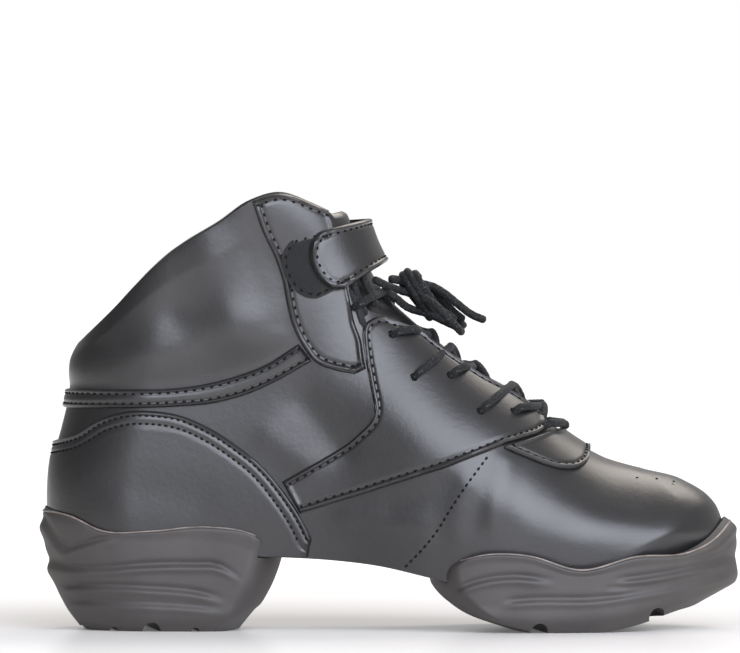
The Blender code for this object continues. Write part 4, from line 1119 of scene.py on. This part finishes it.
def closed_rings(name, grid):
    """A closed form from rings: each is even round the shoe, heel first, and both ends
    are closed by strips from the outer side across to the inner side."""
    rows, columns = grid.shape[:2]
    faces = quads(rows, columns, closed_rows=True)
    for column in (0, columns - 1):
        for row in range(rows // 2):
            spots = [row + 1, row, (rows - row) % rows, rows - row - 1]
            spots = [spot * columns + column for spot in dict.fromkeys(spots)]
            faces.append(spots if column == 0 else spots[::-1])
    return piece_from(name, grid, faces, [rubber])


LEVEL_KNOTS = (0.0, 0.16, 0.33, 0.50, 0.68, 0.93, 1.0)     # where the levels lie up the side
LIP_SHARE = LEVEL_KNOTS[-2]


def sole_solid(name, levels, stations, steps, proud, back_round, front_round):
    """A sole unit's outer form, with its steps, as a closed mesh; and the line of its lip."""
    shape = (stations, proud, back_round, front_round)
    rings = np.array([level_ring(level, *shape) for level in levels])
    profile = Through(LEVEL_KNOTS, rings.reshape(len(levels), -1))
    at = np.concatenate([np.linspace(0.0, LIP_SHARE, SOLE_UP), np.linspace(0.95, 1.0, 4)])
    dense = profile(at).reshape(len(at), *rings.shape[1:])
    dense[..., 2] = np.maximum(dense[..., 2], 0.0)
    dense[0, :, 2] = rings[0, :, 2]
    grid = np.swapaxes(dense, 0, 1)
    level = grid_normals(grid, closed=True)
    level[..., 2] *= 0.3
    side = np.clip((at - 0.10) / 0.08, 0.0, 1.0) * np.clip((0.95 - at) / 0.04, 0.0, 1.0)
    push = step_height(grid, steps) * side[None]
    grid = grid + level * push[..., None]
    return closed_rings(name, grid), grid[:, SOLE_UP] + 0.1 * MM * level[:, SOLE_UP]


def foot_cutter(name, lift):
    """The lasted foot as a closed form, grown by a clearance."""
    places = round_the_foot(upper_places(even_ways(AROUND), np.linspace(0.0, 0.85, 34)))
    points, normals = leather_grid(places, side_signs(AROUND)[:, None], closed=True)
    points = points + normals * lift
    points[:, 0, 2] = places[:, 0, 1] - GAP
    return closed_rings(name, points)


def bake(made):
    """Apply an object's modifiers: its evaluated mesh takes the place of its own."""
    bpy.context.view_layer.update()
    graph = bpy.context.evaluated_depsgraph_get()
    mesh = bpy.data.meshes.new_from_object(made.evaluated_get(graph))
    made.modifiers.clear()
    made.data = mesh
    return made


def cut_away(made, cutter):
    cut = made.modifiers.new("cut", "BOOLEAN")
    cut.operation = "DIFFERENCE"
    cut.object = cutter
    cut.solver = "EXACT"
    bake(made)
    bpy.data.objects.remove(cutter, do_unlink=True)


GROOVE_SLANT = math.radians(7.0)    # the grooves run a little aslant across the tread


def bar(name, radius, length, segments, matrix, finish):
    """A round bar, set in its place by a matrix, that cuts a groove or a hole."""
    bm = bmesh.new()
    bmesh.ops.create_cone(
        bm, cap_ends=True, segments=segments, radius1=radius, radius2=radius, depth=length
    )
    bmesh.ops.transform(bm, matrix=matrix, verts=bm.verts)
    return piece_from_bmesh(name, bm, finish)


def groove_bar(name, place, radius):
    """A bar across the shoe that cuts a half-round groove."""
    over = -math.sin(GROOVE_SLANT) * BALL_HALF_WIDTH
    matrix = Matrix.Translation((place[0] + over, 0.0, place[1]))
    matrix = matrix @ Matrix.Rotation(GROOVE_SLANT, 4, "Z") @ Matrix.Rotation(math.pi / 2, 4, "X")
    return bar(name, radius, 4 * BALL_HALF_WIDTH, 40, matrix, rubber)


# %% The two sole units
GROOVE_RADIUS = 0.0034
NICK_RADIUS = 0.0016        # the small nicks in the edge of the heel's tread
GROOVES = {
    "sole_forefoot": [(0.712, 0.003, GROOVE_RADIUS), (0.887, 0.036, GROOVE_RADIUS)],
    "sole_heel": [
        (0.167, 0.001, GROOVE_RADIUS), (0.076, 0.0, NICK_RADIUS), (0.115, 0.0, NICK_RADIUS),
        (0.229, 0.0, NICK_RADIUS),
    ],
}
LIP_BEAD = 0.42 * MM        # radius of the bead
LIP_SIDES = 8
LIP_PASSES = 12             # how often the bead's line is smoothed
SOLE_SHADE_BREAK = math.radians(38.0)


def unit_vectors(vectors):
    return vectors / (np.linalg.norm(vectors, axis=1, keepdims=True) + 1e-12)


def lip_bead(name, rim):
    """A thin pale bead all round the top edge of a unit: a painted highlight along the edge."""
    for _ in range(LIP_PASSES):
        rim = 0.5 * rim + 0.25 * (np.roll(rim, 1, axis=0) + np.roll(rim, -1, axis=0))
    forward = unit_vectors(np.roll(rim, -1, axis=0) - np.roll(rim, 1, axis=0))
    out = unit_vectors(np.cross(forward, (0.0, 0.0, 1.0)))
    up = np.cross(out, forward)
    angles = np.linspace(0.0, 2.0 * math.pi, LIP_SIDES, endpoint=False)
    rings = np.stack([rim + LIP_BEAD * (math.cos(a) * out + math.sin(a) * up) for a in angles], 1)
    return piece_from(name, rings, tube_faces(len(rim), LIP_SIDES, closed=True), [painted_highlight_rubber])


UNITS = [
    ("sole_forefoot", FOREFOOT_LEVELS, FOREFOOT_STATIONS, FOREFOOT_STEPS, SOLE_PROUD,
     BREAST_ROUND, INSTEP_ROUND + SOLE_PROUD, GAP),
    ("sole_heel", HEEL_LEVELS, HEEL_STATIONS, HEEL_STEPS, HEEL_PROUD,
     HEEL_ROUND + HEEL_PROUD, BREAST_ROUND, OVERLAY + 2 * OVERLAY_GAP),
]
for node, *shape, room in UNITS:
    sole, rim = sole_solid(f"moulded_{node}", *shape)
    cut_away(sole, foot_cutter(f"{node}_foot", room))
    for number, (way, rise, radius) in enumerate(GROOVES[node]):
        cut_away(sole, groove_bar(f"{node}_bar_{number}", side_view([(way, rise)])[0], radius))
    sole.data.set_sharp_from_angle(angle=SOLE_SHADE_BREAK)
    stand_for(sole, [node])
    # the pale bead along the lip is a painted highlight on the unit's top edge
    stand_for(lip_bead(f"{node}_lip", rim), [])

# %% [markdown]
# The lace is one round braided cord, about 3 mm thick. A tube is swept along a smooth
# curve, and its radius swells and dips where the strands of the braid cross, so the braid
# shows in the outline too. Length and turn are kept in a UV map for the lace's material.

# %% Swept laces
LACE_SIDES = 18
LACE_STEP = 0.00042
STRANDS = 5                 # strands of the braid each way round
BRAID_PITCH = 0.0062        # length in which a strand goes once round
BRAID_DEPTH = 0.00016
LEAST_TIP = 0.02            # share of the radius that is left at the very tip


def swept_lace(name, route):
    """A braided tube along a route, with rounded ends; returns it and its centre line."""
    route = np.array(route, float)
    run = run_along(route)
    count = max(12, int(run[-1] / LACE_STEP))
    path = Through(run / run[-1], route)(np.linspace(0.0, 1.0, count))
    run = run_along(path)
    tangents = np.gradient(path, axis=0)
    tangents /= np.linalg.norm(tangents, axis=1, keepdims=True)
    side = np.cross(tangents[0], (0.0, 0.0, 1.0))
    if np.linalg.norm(side) < 0.1:
        side = np.cross(tangents[0], (0.0, 1.0, 0.0))
    angles = np.linspace(0.0, 2.0 * math.pi, LACE_SIDES, endpoint=False)
    radius = np.full(count, LACE / 2.0)
    for distance in (run, run[-1] - run):
        radius *= rounded(distance, LACE / 2.0) * (1.0 - LEAST_TIP) + LEAST_TIP
    rings, charts = [], []
    for index in range(count):
        side = side - tangents[index] * np.dot(side, tangents[index])
        side = side / np.linalg.norm(side)
        other = np.cross(tangents[index], side)
        twist = run[index] / BRAID_PITCH * 2.0 * math.pi
        braid = np.maximum(
            np.cos(STRANDS * (angles - twist / STRANDS * 2.0)),
            np.cos(STRANDS * (angles + twist / STRANDS * 2.0)),
        )
        reach = radius[index] + (braid - 0.5) * BRAID_DEPTH * radius[index] / (LACE / 2.0)
        ring = np.cos(angles)[:, None] * side + np.sin(angles)[:, None] * other
        rings.append(path[index] + ring * reach[:, None])
        charts.append([(run[index], angle * LACE / 2.0) for angle in angles])
    rings = np.array(rings)
    faces = tube_faces(count, LACE_SIDES)
    faces.append(tuple(range(LACE_SIDES))[::-1])
    faces.append(tuple((count - 1) * LACE_SIDES + column for column in range(LACE_SIDES)))
    made = piece_from(name, rings, faces, [lace_braid])
    chart = made.data.uv_layers.new(name="lace")
    charts = np.array(charts).reshape(-1, 2)
    spots = np.empty(len(made.data.loops), int)
    made.data.loops.foreach_get("vertex_index", spots)
    chart.data.foreach_set("uv", charts[spots].reshape(-1))
    return made, path


def joined(name, pieces):
    """Several meshes of one finish as one object."""
    bm = bmesh.new()
    finish = pieces[0].data.materials[0]
    for piece in pieces:
        bm.from_mesh(piece.data)
        bpy.data.objects.remove(piece, do_unlink=True)
    return piece_from_bmesh(name, bm, finish)


# %% [markdown]
# The laces come up through punched holes, lie on the panel, bend over the throat's edge,
# cross the tongue over or under the lace from the other side, and dive under the far edge.
# The route is worked out on the skin: a way from the hole to the ridge, with a height over
# the leather at each place.

# %% The lacing
# Columns: length and height shares of the hole, then shares of the ridge line where the
# lace crosses the ridge and where it dives under, and how far it sinks in the throat
LACING = [
    (0.447, 0.735, 0.770, 0.745, 1.0), (0.501, 0.671, 0.667, 0.649, 1.0),
    (0.533, 0.575, 0.628, 0.604, 0.9), (0.584, 0.577, 0.577, 0.546, 0.8),
    (0.627, 0.497, 0.508, 0.477, 0.4), (0.674, 0.495, 0.450, 0.436, 0.0),
]
TOE_BAR = (0.716, 0.461, 0.398)
ON_EDGE = 0.0020            # how far a lace sinks between the two edges of the throat
ON_TONGUE = -0.0006         # height of a lace's middle over the skin where it lies on the tongue
HOLE_RADIUS = 0.0017
HOLE_DEPTH = 0.0016         # how far below the skin a lace starts in its hole
HOLE_RUN = 0.0026           # length in which it comes up out of the hole
LEAVES_PANEL = 0.45         # share of the way to the ridge where it leaves the panel
SAG = 0.0009                # how far it sags between the panel's edge and the ridge
# where a lace dives under the far edge: degrees past the ridge, shares of the way from the
# crossing to the dive, and depths
DIVE_TURNS = np.array([4.0, 8.0, 12.0, 17.0, 23.0])
DIVE_SHARES = np.array([0.25, 0.5, 0.8, 1.15, 1.5])
DIVE_DEPTHS = (0.0, 0.0003, 0.0009, 0.0021, 0.0040)
ON_LEATHER = OVERLAY + OVERLAY_GAP + LACE / 2.0 + 0.0002


def skin_normals(places, sides):
    """Outward normals of the skin at single places away from the ridge."""
    nudge = 0.0003
    across = on_skin(places + (nudge, 0.0), sides) - on_skin(places - (nudge, 0.0), sides)
    up = on_skin(places + (0.0, nudge), sides) - on_skin(places - (0.0, nudge), sides)
    normals = np.cross(across, up)
    normals /= np.linalg.norm(normals, axis=-1, keepdims=True)
    outward = np.sign(normals[..., 1]) * np.sign(sides)
    return normals * outward[..., None]


def lace_route(row, side, over):
    """Points of a lace from its hole on one side, over the ridge, to the other side."""
    hole = side_view([row[0:2]])[0]
    crest = ridge(row[2])
    way = 1.0 - (1.0 - np.linspace(0.0, 0.95, 14)) ** 2
    places = hole + (crest - hole) * way[:, None]
    sides = np.full(len(way), side)
    skin = on_skin(places, sides)
    normals = skin_normals(places, sides)
    run = run_along(skin)
    crest_height = ON_LEATHER + row[4] * (ON_TONGUE - ON_LEATHER)
    crest_height += over * 0.5 * LACE - ON_EDGE
    sink = np.clip((way - LEAVES_PANEL) / (1.0 - LEAVES_PANEL), 0.0, 1.0)
    height = ON_LEATHER + (crest_height - ON_LEATHER) * sink
    height -= row[4] * SAG * 4.0 * sink * (1.0 - sink)
    rise = np.sin(np.clip(run / HOLE_RUN, 0.0, 1.0) * math.pi / 2)
    height = -HOLE_DEPTH + (height + HOLE_DEPTH) * rise
    points = list(skin + normals * height[:, None])
    spots = row[2] + (row[3] - row[2]) * DIVE_SHARES
    for turn, spot, sunk in zip(DIVE_TURNS * -side, spots, DIVE_DEPTHS):
        near = [spot - SLOPE_STEP, spot, spot + SLOPE_STEP]
        grid = round_the_instep(near, turn - 2.0, turn + 2.0, 3)
        normal = grid_normals(grid)[1, 1]
        points.append(grid[1, 1] + normal * (crest_height - sunk))
    return points


for number, row in enumerate(LACING, start=1):
    over = number % 2
    outer, _ = swept_lace(f"lace_outer_{number}", lace_route(row, -1.0, over))
    inner, _ = swept_lace(f"lace_inner_{number}", lace_route(row, 1.0, 1 - over))
    crossing = joined(f"braided_crossing_{number}", [outer, inner])
    stand_for(crossing, [f"lace_crossing_{number}"])

BAR_DIVE = 0.0028           # how far the bar's ends go down into their holes

hole = side_view([TOE_BAR[0:2]])[0]
crest = ridge(TOE_BAR[2])
way = 1.0 - (1.0 - np.linspace(0.0, 0.9, 9)) ** 2
places = hole + (crest - hole) * way[:, None]
height = ON_LEATHER - BAR_DIVE * (1.0 - np.clip(way / 0.25, 0.0, 1.0)) ** 2
halves = [
    on_skin(places, sign) + skin_normals(places, np.full(len(way), sign)) * height[:, None]
    for sign in SIDES.values()
]
toe_bar, _ = swept_lace("braided_toe_bar", np.concatenate([halves[0], halves[1][::-1]]))
stand_for(toe_bar, ["lace_toe_bar"])

# %% [markdown]
# A punched hole goes through the panel to the leather below. A boolean cuts it, which is
# the plain way to open a closed sheet, and the rim stays sharp, as a punch leaves it.

# %% Punched holes in the lacing panels
PUNCH_LENGTH = 8.0 * MM

for side, sign in SIDES.items():
    for row in LACING[1:]:
        place = side_view([row[0:2]])
        spot = Vector(on_skin(place, np.array([sign]))[0])
        normal = Vector(skin_normals(place, np.array([sign]))[0])
        matrix = Matrix.Translation(spot) @ normal.to_track_quat("Z", "Y").to_matrix().to_4x4()
        cut_away(panels[side], bar("punch", HOLE_RADIUS, PUNCH_LENGTH, 24, matrix, leather))
    print("holes punched:", panels[side].name, len(panels[side].data.polygons), "faces")

# %% [markdown]
# Stitches are the same small thing many times along a line, which is what Geometry Nodes do
# well. The tree turns a seam line into a curve, spaces points along it, sets a stitch on
# each with its length along the curve, and ends as a real mesh with the thread's finish.

# %% The stitch tree
STITCH_PITCH = 3.4 * MM
STITCH_LENGTH = 1.55 * MM
THREAD_WIDTH = 0.95 * MM


def start_tree(name, sizes):
    """A Geometry Nodes tree with its named inputs; returns it with their sockets."""
    tree = bpy.data.node_groups.new(name, "GeometryNodeTree")
    for way in ("INPUT", "OUTPUT"):
        tree.interface.new_socket("Geometry", in_out=way, socket_type="NodeSocketGeometry")
    for label, value in sizes.items():
        socket = tree.interface.new_socket(label, in_out="INPUT", socket_type="NodeSocketFloat")
        socket.default_value = value
    return tree, tree.nodes.new("NodeGroupInput").outputs


def end_tree(tree, instances, finish):
    """The end of a tree: its instances become real meshes and get their finish."""
    real = add_node(tree, "GeometryNodeRealizeInstances", {"Geometry": instances})
    last = add_node(tree, "GeometryNodeSetMaterial", {"Geometry": real, "Material": finish})
    fill(tree.nodes.new("NodeGroupOutput"), {"Geometry": last})
    return tree


def stitch_tree(finish):
    tree, given = start_tree("stitches", {
        "Pitch": STITCH_PITCH, "Stitch Length": STITCH_LENGTH, "Thread": THREAD_WIDTH,
    })
    line = add_node(tree, "GeometryNodeMeshToCurve", {"Mesh": given["Geometry"]})
    spaced = add_node(
        tree, "GeometryNodeResampleCurve", {"Curve": line, "Length": given["Pitch"]},
        mode="LENGTH",
    )
    along = add_node(tree, "GeometryNodeInputTangent")
    turned = add_node(tree, "FunctionNodeAlignRotationToVector", {"Vector": along}, axis="X")
    bead = add_node(
        tree, "GeometryNodeMeshUVSphere", {"Segments": 8, "Rings": 6, "Radius": 0.5}
    )
    smooth = add_node(tree, "GeometryNodeSetShadeSmooth", {"Geometry": bead})
    size = add_node(
        tree, "ShaderNodeCombineXYZ",
        {"X": given["Stitch Length"], "Y": given["Thread"], "Z": given["Thread"]},
    )
    sewn = add_node(
        tree, "GeometryNodeInstanceOnPoints",
        {"Points": spaced, "Instance": smooth, "Rotation": turned, "Scale": size},
    )
    return end_tree(tree, sewn, finish)


def nodes_made(name, vertices, edges, faces, tree, inputs):
    """A plain mesh object made by a Geometry Nodes tree from a small base mesh."""
    base = bpy.data.meshes.new(name)
    base.from_pydata([tuple(v) for v in vertices], edges, faces)
    made = put_in_scene(name, base)
    modifier = made.modifiers.new("nodes", "NODES")
    modifier.node_group = tree
    for item in tree.interface.items_tree:
        if item.item_type == "SOCKET" and item.in_out == "INPUT" and item.name in inputs:
            modifier[item.identifier] = inputs[item.name]
    return bake(made)


def sew(name, lines, tree, **inputs):
    """Stitches along lines, as one piece; inputs are the tree's, with _ for a space."""
    vertices, edges = [], []
    for line in lines:
        if len(line) < 3:
            continue
        start = len(vertices)
        vertices += [tuple(spot) for spot in line]
        edges += [(start + step, start + step + 1) for step in range(len(line) - 1)]
    inputs = {label.replace("_", " "): value for label, value in inputs.items()}
    return stand_for(nodes_made(name, vertices, edges, [], tree, inputs), [])


# %% The seams of the upper that no overlay edge gives
def skin_line(shares, sign, lift, steps=90):
    """A line on the creased skin through places given in the side view."""
    line = side_view(shares)
    run = run_along(line)
    places = Through(run / run[-1], line)(np.linspace(0.0, 1.0, steps))
    sides = np.full(steps, sign)
    normals = skin_normals(places, sides)
    height = lift + crease_height(places, sides)
    return on_skin(places, sides) + normals * height[:, None]


VAMP_SEAM = [
    (0.637, 0.396), (0.612, 0.343), (0.585, 0.279), (0.565, 0.227), (0.545, 0.188),
    (0.523, 0.152),
]
VAMP_PITCH = 2.6 * MM       # the vamp and the counter are sewn with closer stitches
COUNTER_PITCH = 2.5 * MM
stitches = stitch_tree(thread)
vamp_seams = [skin_line(VAMP_SEAM, sign, 0.0002) for sign in SIDES.values()]
panel_seams = [line for name, line in SEWN if name != "counter_leather"]
counter_seams = [line for name, line in SEWN if name == "counter_leather"]
sew("seam_stitches", panel_seams, stitches)
sew("vamp_stitches", vamp_seams, stitches, Pitch=VAMP_PITCH)
sew("counter_stitches", counter_seams, stitches, Pitch=COUNTER_PITCH)

# %% [markdown]
# The bow hangs over the throat. Each end of the lace comes out from under the strap, goes
# through the knot and ends in a short drooping tip, and a flat loop hangs beside it. Two
# more lengths run into the bundle from the side of the throat. A tied lace is limp, so the
# bends are tight. These are free cords, and the length of each is printed. The knot has
# three turns.

# %% The bow
TIED_ENDS = {
    "lateral": [
        (-0.0006, -0.0066, 0.1379), (0.0018, -0.0053, 0.1378), (0.0048, -0.0040, 0.1373),
        (0.0110, -0.0030, 0.1364), (0.0173, -0.0024, 0.1349), (0.0215, -0.0026, 0.1324),
        (0.0265, -0.0028, 0.1284), (0.0320, -0.0024, 0.1242), (0.0380, -0.0014, 0.1216),
    ],
    "medial": [
        (-0.0006, 0.0046, 0.1381), (0.0016, 0.0034, 0.1380), (0.0048, 0.0018, 0.1375),
        (0.0110, 0.0012, 0.1362), (0.0173, 0.0012, 0.1334), (0.0210, 0.0014, 0.1296),
        (0.0250, 0.0018, 0.1252), (0.0295, 0.0026, 0.1216),
    ],
}
LOOPS = {
    "lateral": [
        (0.0114, -0.0042, 0.1318), (0.0157, -0.0037, 0.1300), (0.0196, -0.0036, 0.1262),
        (0.0236, -0.0034, 0.1219), (0.0267, -0.0053, 0.1187), (0.0280, -0.0098, 0.1174),
        (0.0267, -0.0143, 0.1187), (0.0236, -0.0162, 0.1219), (0.0198, -0.0160, 0.1258),
        (0.0158, -0.0144, 0.1293), (0.0124, -0.0126, 0.1314),
    ],
    "medial": [
        (0.0117, 0.0036, 0.1338), (0.0158, 0.0032, 0.1321), (0.0200, 0.0032, 0.1285),
        (0.0242, 0.0030, 0.1244), (0.0275, 0.0049, 0.1211), (0.0289, 0.0094, 0.1197),
        (0.0275, 0.0139, 0.1211), (0.0242, 0.0158, 0.1244), (0.0203, 0.0156, 0.1282),
        (0.0165, 0.0140, 0.1314), (0.0130, 0.0122, 0.1336),
    ],
}
STRAP_RUNS = {
    "upper": (
        [(0.4690, 0.795), (0.4790, 0.786)],
        [(0.0040, -0.0070, 0.1336), (0.0096, -0.0060, 0.1318), (0.0150, -0.0052, 0.1290),
         (0.0212, -0.0048, 0.1252), (0.0262, -0.0040, 0.1216)],
    ),
    "lower": (
        [(0.4900, 0.764), (0.5010, 0.750)],
        [(0.0086, -0.0074, 0.1262), (0.0150, -0.0066, 0.1244), (0.0216, -0.0058, 0.1214),
         (0.0268, -0.0052, 0.1190)],
    ),
}
# the knot: its middle, its half length, its half width and half of its step to the side
KNOT_MIDDLE = np.array([0.0118, -0.0012, 0.1322])
KNOT_LONG = np.array([0.58, 0.0, -0.81]) * 0.0100
KNOT_WIDE = np.array([0.0, 1.0, 0.0]) * 0.0082
KNOT_STEP = np.array([0.81, 0.0, 0.58]) * 0.0034
KNOT_TURNS = 3.1
KNOT_START = -0.3           # angle where the first turn starts
KNOT_STEPS = 90
STRAP_RUN_LIFT = 0.0024     # height of the strap runs over the skin where they start

turns = np.linspace(KNOT_START, KNOT_TURNS * 2.0 * math.pi, KNOT_STEPS)
share = np.linspace(-1.0, 1.0, KNOT_STEPS)
tuck = 1.0 - 0.45 * np.abs(share) ** 8
route = KNOT_MIDDLE + share[:, None] * KNOT_STEP
route = route + (np.sin(turns) * tuck)[:, None] * KNOT_WIDE * (1.0 + 0.08 * share[:, None])
route = route - (np.cos(turns) * tuck)[:, None] * KNOT_LONG
wraps, _ = swept_lace("bow_wraps", route)
stand_for(wraps, ["bow_knot"])
hanging = []
for side in SIDES:
    nodes = [f"bow_feed_{side}", f"lace_end_{side}"]
    hanging.append((f"tied_end_{side}", TIED_ENDS[side], nodes))
    hanging.append((f"drooping_loop_{side}", LOOPS[side], [f"bow_loop_{side}"]))
for level, (shares, rest) in STRAP_RUNS.items():
    start = skin_line(shares, SIDES["lateral"], STRAP_RUN_LIFT, steps=3)
    hanging.append((f"strap_run_{level}", np.vstack([start, rest]), []))
for name, route, nodes in hanging:
    cord, path = swept_lace(name, route)
    stand_for(cord, nodes)
    print(f"{name}: {run_along(path)[-1] / MM:.1f} mm of lace")

# %% [markdown]
# Between the ankle panel and the lacing panel the laces run up under the strap to the top
# holes. Two lengths of them show there on each side, next to each other.

# %% Laces under the strap
UNDER_STRAP = [
    [(0.4435, 0.800), (0.4500, 0.768), (0.4575, 0.742), (0.4640, 0.716)],
    [(0.4560, 0.812), (0.4640, 0.782), (0.4720, 0.757), (0.4790, 0.735)],
]
UNDER_LIFT = 0.0006         # height of the first lace's middle over the skin
UNDER_STEP = 0.0003         # how much higher the next one lies
for side, sign in {"outer": -1.0, "inner": 1.0}.items():
    lengths = []
    for number, shares in enumerate(UNDER_STRAP):
        route = skin_line(shares, sign, UNDER_LIFT + UNDER_STEP * number, steps=8)
        lengths.append(swept_lace(f"under_{side}_{number}", route)[0])
    stand_for(joined(f"laces_under_strap_{side}", lengths), [])

# %% [markdown]
# The strap closes on a loop pile: thousands of fine nylon loops, brushed open. Geometry
# Nodes scatter bent threads over the face of the patch, with a fixed seed, standing along
# its normals and turned at random.

# %% The loop pile
LOOP_DENSITY = 2.3e6        # loops per square metre
LOOP_RADIUS = 0.42 * MM
FIBRE = 0.06 * MM


def pile_tree(finish):
    tree, given = start_tree("loop_pile", {
        "Density": LOOP_DENSITY, "Loop Radius": LOOP_RADIUS, "Fibre": FIBRE,
    })
    scattered = add_node(
        tree, "GeometryNodeDistributePointsOnFaces",
        {"Mesh": given["Geometry"], "Density": given["Density"], "Seed": 7},
    )
    arc = add_node(
        tree, "GeometryNodeCurveArc",
        {"Resolution": 6, "Radius": given["Loop Radius"], "Sweep Angle": math.radians(215.0),
         "Start Angle": math.radians(-17.0)},
    )
    section = add_node(
        tree, "GeometryNodeCurvePrimitiveCircle", {"Resolution": 3, "Radius": given["Fibre"]}
    )
    fibre = add_node(
        tree, "GeometryNodeCurveToMesh",
        {"Curve": arc, "Profile Curve": section, "Fill Caps": True},
    )
    upright = add_node(
        tree, "FunctionNodeAlignRotationToVector",
        {"Vector": scattered.outputs["Normal"]}, axis="Y",
    )
    turn = add_node(
        tree, "FunctionNodeRandomValue",
        {"Min": (-0.5, -3.1, -0.5), "Max": (0.5, 3.1, 0.5), "Seed": 11},
        data_type="FLOAT_VECTOR",
    )
    turned = add_node(
        tree, "FunctionNodeRotateRotation",
        {"Rotation": upright, "Rotate By": turn.outputs["Value"]}, rotation_space="LOCAL",
    )
    # the random value's float sockets are its third and fourth input and its second output
    sizes = add_node(tree, "FunctionNodeRandomValue", {2: 0.7, 3: 1.25, "Seed": 13})
    loops = add_node(
        tree, "GeometryNodeInstanceOnPoints",
        {"Points": scattered, "Instance": fibre, "Rotation": turned, "Scale": sizes.outputs[1]},
    )
    return end_tree(tree, loops, finish)


BARE_EDGE = 4               # faces along the patch's three sewn edges that stay free
rows, columns = patch_face.shape[:2]
cells = np.array([(a, d, c, b) for a, b, c, d in quads(rows, columns)])
cells = cells.reshape(rows - 1, columns - 1, 4)[BARE_EDGE:, BARE_EDGE:-BARE_EDGE]
faces = cells.reshape(-1, 4).tolist()
pile = nodes_made("brushed_loops", patch_face.reshape(-1, 3), [], faces, pile_tree(loop_pile), {})
stand_for(pile, [])

# %% [markdown]
# Three pinholes on each side of the toe let air in. They are about a millimetre wide, too
# small to cut, so each is painted shade: a dark flat dot of the thread's finish, laid on the
# leather where the hole's shade would be.

# %% Pinholes in the toe
PINHOLES = [(0.854, 0.348), (0.8825, 0.345), (0.907, 0.338)]
PINHOLE_WIDTH = 1.1 * MM
SPOT_LENGTH = 0.0006        # share of the length that a spot's short line covers
SPOT_LIFT = 0.00003
SPOT_PITCH = 1.2 * MM       # longer than a spot's line
# dark dots of painted shade, standing for the shade inside the pinholes
pinhole_shade_dots = []
for sign in SIDES.values():
    for way, rise in PINHOLES:
        spot = [(way, rise), (way + SPOT_LENGTH, rise)]
        pinhole_shade_dots.append(skin_line(spot, sign, SPOT_LIFT, steps=3))
sew(
    "toe_pinhole_painted_shade", pinhole_shade_dots, stitch_tree(thread), Pitch=SPOT_PITCH,
    Stitch_Length=PINHOLE_WIDTH, Thread=PINHOLE_WIDTH * 0.5,
)

# %% [markdown]
# The shoe stands on a pale, faintly glossy table in a white studio. Black leather shows
# little but what it reflects, so the surroundings are large and soft: a grey room, darker
# on the heel side, gives the even tone, one big box high in front, on the toe side, makes
# the cool highlights, and a weak one behind the shoe lights its far edges. The camera
# itself sees white. The table gives a little light of its own, more with the distance, so
# it runs into the white without an edge. The colours of the picture are kept as a camera
# records them, without a film-like curve, so white stays white.

# %% Floor, world and lights
ROOM_DARK = 0.16            # light from the heel side, as a share of white
ROOM_LIGHT = 0.45           # light from everywhere else
GLOW_NEAR = (0.10, 0.10)    # distance from the middle in metres, and the table's own light
GLOW_FAR = (0.75, 0.70)
TABLE_HALF = 14.0

bpy.context.scene.view_settings.view_transform = "Standard"
table_top, tree, shader = new_material("white_table")
away = add_node(tree, "ShaderNodeVectorMath", {"Vector": own_place(tree)}, operation="LENGTH")
glow = add_node(
    tree, "ShaderNodeMapRange",
    {"Value": away.outputs["Value"], "From Min": GLOW_NEAR[0], "From Max": GLOW_FAR[0],
     "To Min": GLOW_NEAR[1], "To Max": GLOW_FAR[1]},
)
fill(shader, {
    "Base Color": linear("f6f2ee"), "Roughness": 0.22, "Emission Color": linear("ffffff"),
    "Emission Strength": glow,
})
floor_mesh = bpy.data.meshes.new("floor")
corners = [(-1, -1), (1, -1), (1, 1), (-1, 1)]
floor_mesh.from_pydata(
    [(x * TABLE_HALF, y * TABLE_HALF, 0.0) for x, y in corners], [], [(0, 1, 2, 3)]
)
floor_mesh.materials.append(table_top)
put_in_scene("floor", floor_mesh)

world = bpy.data.worlds.new("white_studio")
world.use_nodes = True
tree = world.node_tree
direction = add_node(tree, "ShaderNodeTexCoord").outputs["Generated"]
compass = add_node(tree, "ShaderNodeSeparateXYZ", {"Vector": direction})
room = add_node(
    tree, "ShaderNodeMapRange",
    {"Value": compass.outputs["X"], "From Min": -0.95, "From Max": -0.10,
     "To Min": ROOM_DARK, "To Max": ROOM_LIGHT},
)
to_camera = add_node(tree, "ShaderNodeLightPath").outputs["Is Camera Ray"]
seen = add_node(tree, "ShaderNodeMix", {"Factor": to_camera, "A": room, "B": 1.0})
fill(tree.nodes["Background"], {"Color": linear("ffffff"), "Strength": seen})
bpy.context.scene.world = world


def soft_box(name, place, target, width, height, power, chart):
    """A large soft lamp that the camera doesn't see, aimed at a target."""
    box = bpy.data.lights.new(name, "AREA")
    box.shape = "RECTANGLE"
    box.size = width
    box.size_y = height
    box.energy = power
    box.color = linear(chart)[:3]
    lamp = put_in_scene(name, box)
    lamp.visible_camera = False
    lamp.location = place
    lamp.rotation_euler = (Vector(target) - Vector(place)).to_track_quat("-Z", "Y").to_euler()
    print(f"{name}: {width:.2f} m by {height:.2f} m, {power:.0f} W")


soft_box("window", (0.58, -1.44, 0.86), (0.0, 0.0, 0.08), 2.25, 1.15, 58.0, "edf2ff")
soft_box("ceiling", (0.40, 0.80, 1.05), (0.05, 0.0, 0.05), 0.90, 0.70, 7.0, "fff6ec")
